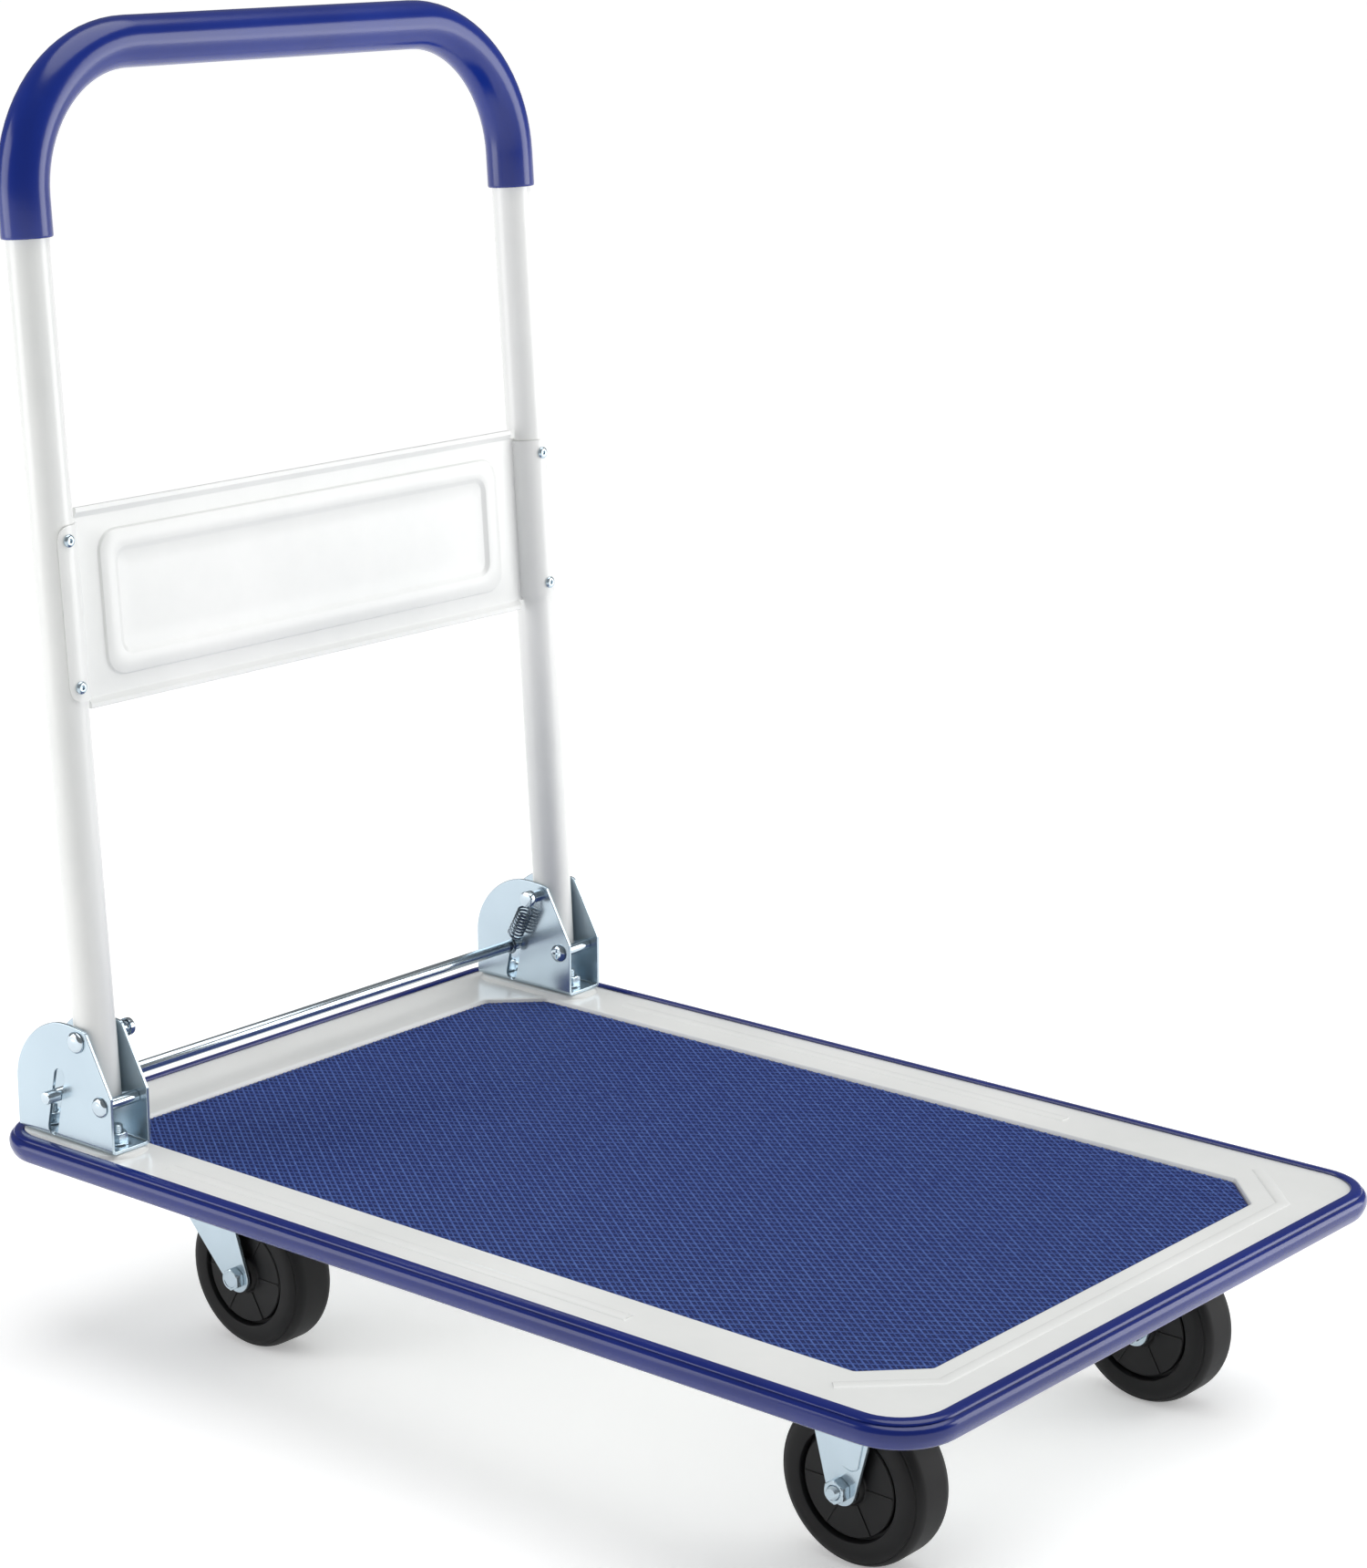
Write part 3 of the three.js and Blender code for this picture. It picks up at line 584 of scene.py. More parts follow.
# Straight lines at one angle and spacing, each kept to the part that lies on the mat.
def weaveLines(angle, pitch, offset, z):
    m, d = matSet, deckSet
    along = Vector((math.cos(math.radians(angle)), math.sin(math.radians(angle))))
    across = Vector((-along.y, along.x))
    x, y = d["matHalfLength"] - m["border"], d["matHalfWidth"] - m["border"]
    cut = math.sqrt(0.5)
    walls = [(Vector((1, 0)), x), (Vector((-1, 0)), x), (Vector((0, 1)), y), (Vector((0, -1)), y)]
    for sx in (1, -1):
        for sy in (1, -1):
            walls.append((Vector((sx * cut, sy * cut)), (x + y - d["matCut"]) * cut))
    points, edges = [], []
    count = int((x + y) / pitch) + 2
    for i in range(-count, count + 1):
        start = across * (i * pitch + offset)
        low, high = -math.inf, math.inf
        for normal, reach in walls:
            rate, left = along.dot(normal), reach - start.dot(normal)
            if abs(rate) < 1e-9:
                if left < 0:
                    high = low
            elif rate > 0:
                high = min(high, left / rate)
            else:
                low = max(low, left / rate)
        if high - low > pitch:
            for t in (low, high):
                spot = start + along * t
                points.append((d["matX"] + spot.x, spot.y, z))
            edges.append((len(points) - 2, len(points) - 1))
    return points, edges


def buildMat():
    m = matSet
    rings = [cutRing(-m["edge"], m["low"]), cutRing(-m["edge"], m["top"] - m["edgeRound"]),
             cutRing(-m["edge"] - m["edgeEase"], m["top"] - m["edgeEase"]),
             cutRing(-m["edge"] - m["edgeRound"], m["top"])]
    parts = [solidFrom("matBase", *loft(rings))]
    for kind, (angle, shift, width, height) in m["threads"].items():
        sizes = {"Width": width * mm, "Height": height * mm, "Sides": m["sides"],
                 "Material": finishes["matVinyl"]}
        points, edges = weaveLines(angle, m["pitch"], shift * m["pitch"], m["top"] - m["sink"])
        parts.append(grow(kind, trees["rib"], sizes, points, edges))
    mat = joinPieces("deckMat", parts)
    settle(mat, "deck", "matVinyl", "deck_mat")


buildMat()
print("mat woven")

# The bumper's section: (how far in from its outer edge, height), round the whole profile.
bumperSet = {
    "halfLength": 370.3, "halfWidth": 243.9, "corner": 40,
    "section": ((10.2, 135.2), (10.2, 136.3), (9.8, 136.8), (9.0, 136.9), (6.6, 136.8), (4.8, 136.4),
                (3.5, 135.7), (3.1, 134.9), (3.6, 134.4), (3.0, 133.9), (2.0, 133.5), (1.1, 132.8),
                (0.45, 131.7), (0.08, 130.3), (0.0, 128.8), (0.12, 127.3), (0.5, 125.9), (1.1, 124.5),
                (1.7, 123.2), (2.3, 122.1), (3.1, 121.2), (4.2, 120.8), (8.6, 120.8), (9.4, 121.2),
                (9.6, 122.3), (6.8, 122.3), (6.7, 122.5), (6.7, 135.1), (6.9, 135.2)),
}


def buildBumper():
    b = bumperSet
    rings = []
    for inset, z in b["section"]:
        outline = roundRing(b["halfLength"] - inset, b["halfWidth"] - inset, b["corner"] - inset)
        rings.append([(u, v, z) for u, v in outline])
    settle(solidFrom("edgeBumper", *loft(rings, loop=True), 40), "deck", "bumperVinyl", "bumper")


buildBumper()

railSet = {"halfLength": 210, "halfWidth": 52, "low": 118.5, "high": 128.4, "gauge": 1.8, "bend": 1.6,
           "frontX": 264.5, "rearX": -256, "holeRadius": 9, "holePitch": 60}


def buildRails():
    r = railSet
    outer = r["bend"] + r["gauge"]
    leg = r["high"] - r["low"] - outer
    for end, x in (("front", r["frontX"]), ("rear", r["rearX"])):
        outline = [(r["halfLength"], 0), (r["halfLength"], leg),
                   (-r["halfLength"], leg), (-r["halfLength"], 0)]
        holes = [roundHole(k * r["holePitch"], 0, r["holeRadius"]) for k in (-1, 0, 1)]
        sheet = {"gauge": r["gauge"], "bend": r["bend"], "outerHalf": r["halfWidth"], "webHoles": holes}
        rail = foldedChannel(f"{end}CrossRail", outline, [], sheet,
                             lambda along, across, h, x=x: (x - across, along, r["low"] + h))
        settle(rail, "deck", "whitePaint", f"cross_rail_{end}")


buildRails()
print("bumper and rails fitted")

handleSet = {
    "leanDegrees": 3.5, "pivotX": -292.3, "pivotZ": 206.3, "halfSpan": 213.3, "topS": 608.5, "bend": 89,
    "radius": 13.25, "wall": 1.3, "tailSweep": 39.6, "sides": 48, "bendSteps": 20,
    "feet": (-36.0, 200.0, 400.0), "gripRadius": 15.9, "gripInner": 13.5, "gripFrom": 496.5,
    "gripLip": ((0.0, 1.1), (0.25, 0.45), (0.8, 0.1), (1.6, 0)),
}


# The handle's own frame: s runs up the tube from the pivot, n points forward, y to the left.
def leaned(y, s, n):
    a = math.radians(handleSet["leanDegrees"])
    return (handleSet["pivotX"] + n * math.cos(a) - s * math.sin(a), y,
            handleSet["pivotZ"] + n * math.sin(a) + s * math.cos(a))


# Stations (y, s, tangent y, tangent s) from the left foot over the top to the right foot.
def handleStations(feet):
    h = handleSet
    centreY, centreS = h["halfSpan"] - h["bend"], h["topS"] - h["bend"]
    left = [(h["halfSpan"], s, 0.0, 1.0) for s in feet]
    for i in range(h["bendSteps"] + 1):
        a = math.pi / 2 * i / h["bendSteps"]
        left.append((centreY + h["bend"] * math.cos(a), centreS + h["bend"] * math.sin(a),
                     -math.sin(a), math.cos(a)))
    middle = [(centreY * t, h["topS"], -1.0, 0.0) for t in (0.5, 0, -0.5)]
    return left + middle + [(-y, s, ty, -ts) for y, s, ty, ts in reversed(left)]


def handleRing(station, radius, sweep=None):
    y, s, ty, ts = station
    ring = []
    for k in range(handleSet["sides"]):
        a = math.tau * k / handleSet["sides"]
        inPlane, n = radius * math.cos(a), radius * math.sin(a)
        spot = s if sweep is None else -math.sqrt(sweep ** 2 - n ** 2)
        ring.append(leaned(y + inPlane * ts, spot - inPlane * ty, n))
    return ring


def buildHandle():
    h = handleSet
    stations = handleStations(h["feet"])
    last = len(stations) - 1
    outer, bore = [[handleRing(p, radius, h["tailSweep"] if i in (0, last) else None)
                    for i, p in enumerate(stations)] for radius in (h["radius"], h["radius"] - h["wall"])]
    tube = solidFrom("handleTube", *loft(outer + bore[::-1], loop=True))
    settle(tube, "handle", "whitePaint", "handle_tube")
    stations = handleStations([h["gripFrom"] + up for up, drop in h["gripLip"]])
    drops = [drop for up, drop in h["gripLip"]]
    drops += [0] * (len(stations) - 2 * len(drops)) + drops[::-1]
    outer = [handleRing(p, h["gripRadius"] - drop) for p, drop in zip(stations, drops)]
    inner = [handleRing(p, h["gripInner"]) for p in stations]
    grip = solidFrom("gripSleeve", *loft(outer + inner[::-1], loop=True))
    settle(grip, "handle", "blueVinyl", "grip_sleeve")


buildHandle()
print("handle bent")

panelSet = {
    "centreS": 269, "halfHeight": 56.4, "halfWidth": 199.6, "corner": 0.4, "gauge": 1.2, "hemHalfWidth": 196,
    "hem": ((-0.6, 62.0), (-0.1, 62.6), (2.1, 62.6), (2.6, 62.1), (2.6, 59.6), (2.3, 59.0),
            (0.9, 56.8), (0.6, 56.0), (-0.6, 55.6)),
    "frame": (178.6, 45, 13), "well": (166, 32.5, 8), "emboss": 1.7,
    "frameRise": ((1.6, 0), (1.1, 0.1)), "frameTop": ((0.1, -0.25), (-0.5, 0)),
    "wellTop": ((1.7, 0), (1.2, -0.15)), "wellFoot": ((-1.2, 0.2), (-2.2, 0), (-12, 0)),
    "wingRadius": 14.75, "wingInner": 13.5, "wingHalfHeight": 54.5, "wingCorner": 9, "wingEnd": 60,
    "wingSteps": 26, "rivetS": 45.3, "rivetRadius": 4, "rivetHeight": 1.5, "rivetHole": 1.4,
}


def panelRing(halfWidth, halfHeight, corner, n):
    p = panelSet
    return [leaned(u, p["centreS"] + v, n) for u, v in roundRing(halfWidth, halfHeight, corner, 6)]


def panelFace():
    p = panelSet
    face = p["gauge"] / 2
    top = face + p["emboss"]
    rings = [panelRing(p["halfWidth"], p["halfHeight"], p["corner"], face)]
    for shape, steps, level in (("frame", "frameRise", face), ("frame", "frameTop", top),
                                ("well", "wellTop", top), ("well", "wellFoot", face)):
        rings += [panelRing(*[size + out for size in p[shape]], level + h) for out, h in p[steps]]
    skin = solidFrom("panelFace", *loft(rings, capFirst=False), 25)
    lean = math.radians(handleSet["leanDegrees"])
    forward = Vector((math.cos(lean), 0, math.sin(lean)))
    facing = sum(part.normal.dot(forward) * part.area for part in skin.data.polygons)
    thicken(skin, p["gauge"], -1 if facing > 0 else 1)
    return skin


def panelHem(up):
    p = panelSet
    rings = [[leaned(end * p["hemHalfWidth"], p["centreS"] + up * s, n) for n, s in p["hem"]]
             for end in (-1, 1)]
    return solidFrom("hem", *loft(rings), 20)


# A wing wraps from the panel round the front of its tube, with its two free corners rounded.
def panelWing(side):
    p = panelSet
    rings = []
    for k in range(p["wingSteps"] + 1):
        a = math.radians(180 + (p["wingEnd"] - 180) * k / p["wingSteps"])
        left = p["wingRadius"] * (a - math.radians(p["wingEnd"]))
        c = p["wingCorner"]
        half = p["wingHalfHeight"] - (c - math.sqrt(max(c ** 2 - (c - left) ** 2, 0)) if left < c else 0)
        ring = []
        for r, s in ((p["wingRadius"], half), (p["wingRadius"], -half),
                     (p["wingInner"], -half), (p["wingInner"], half)):
            y = side * (handleSet["halfSpan"] + r * math.cos(a))
            ring.append(leaned(y, p["centreS"] + s, r * math.sin(a)))
        rings.append(ring)
    return solidFrom("wing", *loft(rings), 40)


# A pop rivet's head, drawn at the origin and facing forward, with its mandrel hole.
def rivetPattern():
    p = panelSet
    r, h, hole = p["rivetRadius"], p["rivetHeight"], p["rivetHole"]
    profile = [(0, -0.6), (r, -0.6), (r, 0.35), (r * 0.9, h * 0.62), (r * 0.68, h * 0.9), (hole + 0.7, h),
               (hole, h - 0.15), (hole * 0.9, 0.3), (0, 0.25)]
    pattern = turned("rivetPattern", profile, (0, 0, 0), "Z", 1, 24)
    lean = math.radians(handleSet["leanDegrees"])
    pattern.data.transform(Matrix.Rotation(-lean, 4, "Y") @ Matrix.Rotation(math.pi / 2, 4, "Y"))
    return pattern


def buildPanel():
    p = panelSet
    parts = [panelFace(), panelHem(1), panelHem(-1), panelWing(1), panelWing(-1)]
    panel = joinPieces("handlePanel", parts, 25)
    settle(panel, "handle", "whitePaint", "handle_panel")
    seat = p["wingRadius"] + 0.3
    spots = [leaned(side * handleSet["halfSpan"], p["centreS"] + up * p["rivetS"], seat)
             for side in (1, -1) for up in (1, -1)]
    pattern = rivetPattern()
    rivets = fastenAt("panelRivets", pattern, spots, 32)
    bpy.data.objects.remove(pattern)
    settle(rivets, "handle", "zincPlate",
           *[f"panel_rivet_{level}_{name}" for level in ("upper", "lower") for name in sides])


buildPanel()
print("panel riveted")

bracketSet = {
    "outerY": 229.3, "innerY": 197.3, "gauge": 2.3, "bend": 1.5, "bottom": 137.7, "rearX": -351.2,
    "shoulderZ": 171, "crownX": -305, "top": 216, "crownEndX": -299, "noseTopX": -284.6, "noseTopZ": 214.5,
    "breakX": -262.5, "breakZ": 175.1, "bow": 0.5, "crownSteps": 18,
    "slotTopX": -310.3, "slotTopZ": 180.5, "slotLowX": -318.4, "slotLowZ": 144.4, "slotRadius": 4.7,
}


def bracketOutline():
    b = bracketSet
    base = b["bottom"] + b["bend"] + b["gauge"]
    start, end = Vector((b["crownX"], b["top"])), Vector((b["rearX"], b["shoulderZ"]))
    c1 = start - Vector((b["bow"] * (b["crownX"] - b["rearX"]), 0))
    c2 = end + Vector((0, b["bow"] * (b["top"] - b["shoulderZ"])))
    crown = []
    for i in range(1, b["crownSteps"]):
        t = i / b["crownSteps"]
        u = 1 - t
        crown.append(start * u ** 3 + c1 * 3 * t * u ** 2 + c2 * 3 * t ** 2 * u + end * t ** 3)
    eased = roundPolygon([(b["breakX"], base), (b["breakX"], b["breakZ"]), (b["noseTopX"], b["noseTopZ"]),
                          (b["crownEndX"], b["top"]), (b["rearX"], b["shoulderZ"]), (b["rearX"], base)],
                         [0, 3, 4, 0, 0, 0])
    top = [p for p in eased if p[0] > b["crownEndX"] - 0.01]
    outline = top + [tuple(start)] + [tuple(p) for p in crown] + [tuple(end), (b["rearX"], base)]
    return [(x, z - base) for x, z in outline]


def slotLoop():
    b = bracketSet
    base = b["bottom"] + b["bend"] + b["gauge"]
    dx, dz = b["slotTopX"] - b["slotLowX"], b["slotTopZ"] - b["slotLowZ"]
    a = math.degrees(math.atan2(dz, dx))
    loop = arc(b["slotTopX"], b["slotTopZ"] - base, b["slotRadius"], a - 90, a + 90, 12)
    return loop + arc(b["slotLowX"], b["slotLowZ"] - base, b["slotRadius"], a + 90, a + 270, 12)


def buildBrackets():
    b = bracketSet
    for name, side in sides.items():
        middle, half = side * (b["outerY"] + b["innerY"]) / 2, (b["outerY"] - b["innerY"]) / 2
        sheet = {"gauge": b["gauge"], "bend": b["bend"], "outerHalf": half}
        bracket = foldedChannel(f"{name}HingeBracket", bracketOutline(), [slotLoop()], sheet,
                                lambda x, y, h, middle=middle: (x, middle + y, b["bottom"] + h))
        settle(bracket, "deck", "zincPlate", f"hinge_bracket_{name}")


buildBrackets()
print("brackets folded")

pinSet = {
    "pivotX": -292.3, "pivotZ": 206.3, "pinRadius": 4, "headRadius": 7, "headHeight": 3, "outY": 229.6,
    "inY": 197.3, "gap": 0.3,
    "postLength": 12.5, "postRadius": 5.8, "neckRadius": 3.6, "neckFrom": 4.4, "neckTo": 8.4,
    "stopX": -272.2, "stopZ": 168, "stopRadius": 2.9, "stopHead": 6.5, "stopHeadHeight": 2.5,
    "sleeveRadius": 3.9, "sleeveBore": 3.2, "sleeveFrom": 199.9, "sleeveTo": 226.7,
    "screwHead": 6.3, "screwHeight": 2.5, "crossWidth": 1.3, "crossReach": 3.4, "crossDepth": 1.5,
    "barX": -313.3, "barZ": 167.4, "barRadius": 4.2, "barHalf": 239.2,
}


# A closed rivet head: a low dome with a shallow ring round its crown.
def domeProfile(radius, height, base):
    shares = ((1, 0), (1, 0.22), (0.93, 0.5), (0.78, 0.76), (0.6, 0.9),
              (0.48, 0.84), (0.4, 0.9), (0.2, 1), (0, 1))
    return [(radius * r, base + height * h) for r, h in shares]


# A pan-headed screw, from its crown down to its seat.
def screwProfile(radius, height, base):
    shares = ((0, 1), (0.62, 0.97), (0.84, 0.8), (0.97, 0.45), (1, 0))
    return [(radius * r, base + height * h) for r, h in shares]


# Cuts a cross into the crown of a screw.
def crossRecess(screw, crown):
    p = pinSet
    cutters = []
    for long, wide in ((p["crossReach"], p["crossWidth"] / 2), (p["crossWidth"] / 2 - 0.01, p["crossReach"])):
        rings = [[(crown[0] + u, crown[1] + face * p["crossDepth"], crown[2] + v)
                  for u, v in ((-long, -wide), (long, -wide), (long, wide), (-long, wide))] for face in (-1, 1)]
        cutters.append(solidFrom("crossCutter", *loft(rings)))
    for cutter in cutters:
        cut = screw.modifiers.new("cross", "BOOLEAN")
        cut.object = cutter
        cut.operation = "DIFFERENCE"
        cut.solver = "EXACT"
    mesh = baked(screw)
    screw.modifiers.clear()
    screw.data = mesh
    mesh.set_sharp_from_angle(angle=math.radians(32))
    for cutter in cutters:
        bpy.data.objects.remove(cutter)


def buildPins():
    p = pinSet
    inY, outY = p["inY"], p["outY"]
    tip, post, neck = inY - p["postLength"], p["postRadius"], p["neckRadius"]
    neckIn, neckOut = inY - p["neckTo"], inY - p["neckFrom"]
    pivotLine = [(0, tip), (post - 1.2, tip), (post - 0.3, tip + 0.4), (post, tip + 1.2), (post, neckIn - 0.4),
                 (neck + 0.4, neckIn), (neck, neckIn + 0.5), (neck, neckOut - 0.4),
                 (p["pinRadius"], neckOut), (p["pinRadius"], outY)]
    pivotLine += domeProfile(p["headRadius"], p["headHeight"], outY)
    seat = inY - p["gap"]
    stopLine = [(r, 2 * inY - p["gap"] - h) for r, h in screwProfile(p["screwHead"], p["screwHeight"], inY)]
    stopLine += [(p["stopRadius"], seat), (p["stopRadius"], outY)]
    stopLine += domeProfile(p["stopHead"], p["stopHeadHeight"], outY)
    r, bore, a, z = p["sleeveRadius"], p["sleeveBore"], p["sleeveFrom"], p["sleeveTo"]
    sleeveLine = [(bore, a), (r - 0.3, a), (r, a + 0.3), (r, z - 0.3), (r - 0.3, z), (bore, z)]
    stopAt = (p["stopX"], 0, p["stopZ"])
    for name, side in sides.items():
        pin = turned(f"{name}PivotPin", pivotLine, (p["pivotX"], 0, p["pivotZ"]), "Y", side, 40)
        settle(pin, "deck", "polishedZinc", f"pivot_pin_{name}")
        stop = turned(f"{name}StopPin", stopLine, stopAt, "Y", side, 40)
        crossRecess(stop, (p["stopX"], side * (seat - p["screwHeight"]), p["stopZ"]))
        settle(stop, "deck", "polishedZinc", f"stop_pin_{name}")
        sleeve = turned(f"{name}StopSleeve", sleeveLine, stopAt, "Y", side, 32, closed=True)
        settle(sleeve, "deck", "polishedZinc", f"stop_sleeve_{name}")
    r, half = p["barRadius"], p["barHalf"]
    rod = [(0, -half), (r - 1.2, -half), (r - 0.4, -half + 0.3), (r, -half + 1.1)]
    rod += [(q, -h) for q, h in rod[::-1]]
    bar = turned("releaseBar", rod, (p["barX"], 0, p["barZ"]), "Y", 1, 40)
    settle(bar, "release_bar", "polishedZinc", "release_bar")


buildPins()

springSet = {
    "wire": 0.8, "coil": 5.0, "turns": 8, "perTurn": 22, "y": 190.9, "from": 0.25, "to": 0.77,
    "sides": 10, "gap": 0.3, "hookDegrees": 200, "hookSteps": 16,
}


# A tension spring's path: a hook round the post's neck, the coil, and a hook round the bar.
def springPath(side):
    s, p = springSet, pinSet
    start = Vector((p["pivotX"], 0, p["pivotZ"]))
    end = Vector((p["barX"], 0, p["barZ"]))
    along = (end - start).normalized()
    length = (end - start).length
    across = Vector((-along.z, 0, along.x))
    out = Vector((0, 1, 0))
    path = []
    topHook, lowHook = [r + s["gap"] + s["wire"] for r in (p["neckRadius"], p["barRadius"])]
    sweep = math.radians(s["hookDegrees"])
    for i in range(s["hookSteps"] + 1):
        a = sweep * (1 - i / s["hookSteps"])
        path.append(start + along * topHook * math.cos(a) - across * topHook * math.sin(a))
    steps = s["turns"] * s["perTurn"]
    for i in range(steps + 1):
        a = math.tau * s["turns"] * i / steps
        rise = length * (s["from"] + (s["to"] - s["from"]) * i / steps)
        path.append(start + along * rise + across * s["coil"] * math.cos(a) + out * s["coil"] * math.sin(a))
    for i in range(s["hookSteps"] + 1):
        a = sweep * i / s["hookSteps"]
        path.append(end - along * lowHook * math.cos(a) + across * lowHook * math.sin(a))
    return [(q.x, side * s["y"] + side * q.y, q.z) for q in path]


def buildSprings():
    for name, side in sides.items():
        path = springPath(side)
        edges = [(i, i + 1) for i in range(len(path) - 1)]
        sizes = {"Radius": springSet["wire"] * mm, "Sides": springSet["sides"],
                 "Material": finishes["springSteel"]}
        spring = grow(f"{name}ReturnSpring", trees["wire"], sizes, path, edges)
        settle(spring, "deck", "springSteel", f"return_spring_{name}")


buildSprings()
print("pins, bar and springs fitted")


# A hexagon with its outer corners turned off, as on a bolt head or nut.
def hexRing(flats, limit, height):
    ring = []
    for k in range(36):
        a = math.tau * k / 36
        edge = flats / math.cos((a + math.pi / 6) % (math.pi / 3) - math.pi / 6)
        r = min(edge, limit)
        ring.append((r * math.cos(a), r * math.sin(a), height))
    return ring


def hexHead(name, flats, height, bore=0.0):
    corner = flats / math.cos(math.pi / 6)
    rings = [hexRing(flats, corner * 0.96, 0), hexRing(flats, corner, height * 0.1),
             hexRing(flats, corner, height * 0.82), hexRing(flats, corner * 0.955, height * 0.92),
             hexRing(flats * 0.97, flats * 0.98, height), hexRing(flats, flats * 0.82, height)]
    if bore:
        rings += [hexRing(bore * 1.12, bore * 1.12, height), hexRing(bore, bore, height * 0.94),
                  hexRing(bore, bore, 0)]
        return solidFrom(name, *loft(rings, loop=True), 25)
    rings += [hexRing(flats, flats * 0.76, height * 0.93)]
    return solidFrom(name, *loft(rings), 25)


# A screw's end: a plain stub with turned threads and a chamfer.
def threadedStub(name, radius, length, pitch):
    profile = [(0, 0), (radius, 0)]
    h = 0.4
    while h < length - 1.2:
        profile += [(radius, h), (radius * 0.88, h + pitch / 2)]
        h += pitch
    profile += [(radius, length - 1.0), (radius * 0.78, length), (0, length)]
    return turned(name, profile, (0, 0, 0), "Z", 1, 24)


boltSet = {
    "frontX": -276, "rearX": -338, "y": 213.3, "seat": 140.3, "flats": 6.06, "height": 6.2,
    "washerRadius": 8.4, "washerHeight": 0.9, "headTop": 133.0, "headHeight": 5.2, "radius": 3.9,
    "boreGap": 0.1, "stub": 4.8, "pitch": 1.0,
}


def boltPattern():
    b = boltSet
    r, h = b["washerRadius"], b["washerHeight"]
    line = [(b["radius"], 0), (r, 0), (r, h - 0.2), (r - 0.2, h), (b["radius"], h)]
    washer = turned("washer", line, (0, 0, 0), "Z", 1, 32, closed=True)
    nut = hexHead("nut", b["flats"], b["height"], b["radius"] + b["boreGap"])
    nut.data.transform(Matrix.Translation((0, 0, b["washerHeight"] * mm)))
    drop = b["seat"] - b["headTop"]
    head = hexHead("head", b["flats"], b["headHeight"])
    head.data.transform(Matrix.Translation((0, 0, -drop * mm)) @ Matrix.Rotation(math.pi, 4, "X"))
    shank = threadedStub("shank", b["radius"], drop + b["washerHeight"] + b["height"] + b["stub"], b["pitch"])
    shank.data.transform(Matrix.Translation((0, 0, -drop * mm)))
    return joinPieces("boltPattern", [washer, head, nut, shank], 25)


def buildBracketBolts():
    b = boltSet
    pattern = boltPattern()
    spots = [(x, side * b["y"], b["seat"]) for side in (1, -1) for x in (b["frontX"], b["rearX"])]
    bolts = fastenAt("bracketBolts", pattern, spots)
    bpy.data.objects.remove(pattern)
    settle(bolts, "deck", "zincPlate",
           *[f"bracket_bolt_{end}_{name}" for end in ("front", "rear") for name in sides])


buildBracketBolts()

casterSet = {
    "track": 145.6, "axleZ": 49.5, "frontX": 264.5, "rearX": -220, "kingX": -256, "plateHalfLength": 46,
    "plateHalfWidth": 36, "plateCorner": 7, "plateTop": 118.2, "plateGauge": 2.5, "screwX": 36, "screwY": 27,
    "gauge": 2.5, "bend": 2.2, "outerHalf": 22.5, "legRound": 10, "crownTop": 108, "axleRadius": 4,
    "rearLegFrom": -29, "rearLegTo": 28, "frontLegHalf": 27, "ringRadius": 24, "kingRadius": 5.5, "kingHead": 9,
    "creaseHeight": 0.9, "creaseSheet": 1.2, "screwFlats": 5.4, "screwHeight": 4.2, "gap": 0.3,
    "race": ((-3, 0.2), (0, -1.2), (0.4, -3.4), (-1.2, -3.9), (-4, -3.2), (-6, -5)),
    "cup": ((-9, -0.4), (-1.2, -0.4), (-0.4, 0.6), (-0.8, 2.2), (-3, 2.5), (-9, 1.4)),
    "crease": ((-19, 58.5, 2.5), (-8.2, 22, 8), (-2.5, 15.5, 8), (8.5, 12.5, 4), (12.5, 15, 3),
               (21, 58.5, 2.5)),
}


def plateBlank(name, x, side, holes=()):
    c = casterSet
    loops = [roundRing(c["plateHalfLength"], c["plateHalfWidth"], c["plateCorner"], 6)] + list(holes)
    middle = c["plateTop"] - c["plateGauge"] / 2
    return setBlank(name, cutBlank(loops, c["plateGauge"], 0.35),
                    lambda u, v, w: (x + u, side * c["track"] + v, middle + w))


# A fork leg as (x, drop below the crown's bend): straight sides that end in a round about the axle.
def legLoop(axleX, fromX, toX, crownTop):
    c = casterSet
    base = crownTop - c["bend"] - c["gauge"]

    def tangent(x, sign):
        dx, dz = x - axleX, base - c["axleZ"]
        return math.degrees(math.atan2(dz, dx) + sign * math.acos(c["legRound"] / math.hypot(dx, dz)))

    foot = arc(axleX, c["axleZ"], c["legRound"], tangent(fromX, 1), tangent(toX, -1) + 360, 22)
    return [(x, base - z) for x, z in [(fromX, base)] + foot + [(toX, base)]]


def buildFork(name, axleX, fromX, toX, crownTop, side, holes):
    c = casterSet
    leg = legLoop(axleX, fromX, toX, crownTop)
    drop = crownTop - c["bend"] - c["gauge"] - c["axleZ"]
    axleHole = [(x, drop + z) for x, z in roundHole(axleX, 0, c["axleRadius"] + c["gap"])]
    sheet = {"gauge": c["gauge"], "bend": c["bend"], "outerHalf": c["outerHalf"], "webHoles": holes}
    return foldedChannel(name, leg, [axleHole], sheet,
                         lambda x, y, h: (x, side * c["track"] + y, crownTop - h))


def plateScrews(pattern, x, y, z):
    c = casterSet
    spots = [(x + sx * c["screwX"], y + sy * c["screwY"], z) for sx in (1, -1) for sy in (1, -1)]
    return fastenAt("screws", pattern, spots)


# The pressed-out field on a front leg leaves a strip at the rear and curves forward over the axle.
def forkCrease(side, face):
    c = casterSet
    corners = [(c["frontX"] + x, c["axleZ"] + z) for x, z, r in c["crease"]]
    outline = roundPolygon(corners, [r for x, z, r in c["crease"]], 6)
    y = side * c["track"] + face * (c["outerHalf"] + c["creaseHeight"] - c["creaseSheet"] / 2)
    return setBlank("crease", cutBlank([outline], c["creaseSheet"], c["creaseHeight"]),
                    lambda u, v, w: (u, y + w, v), 50)


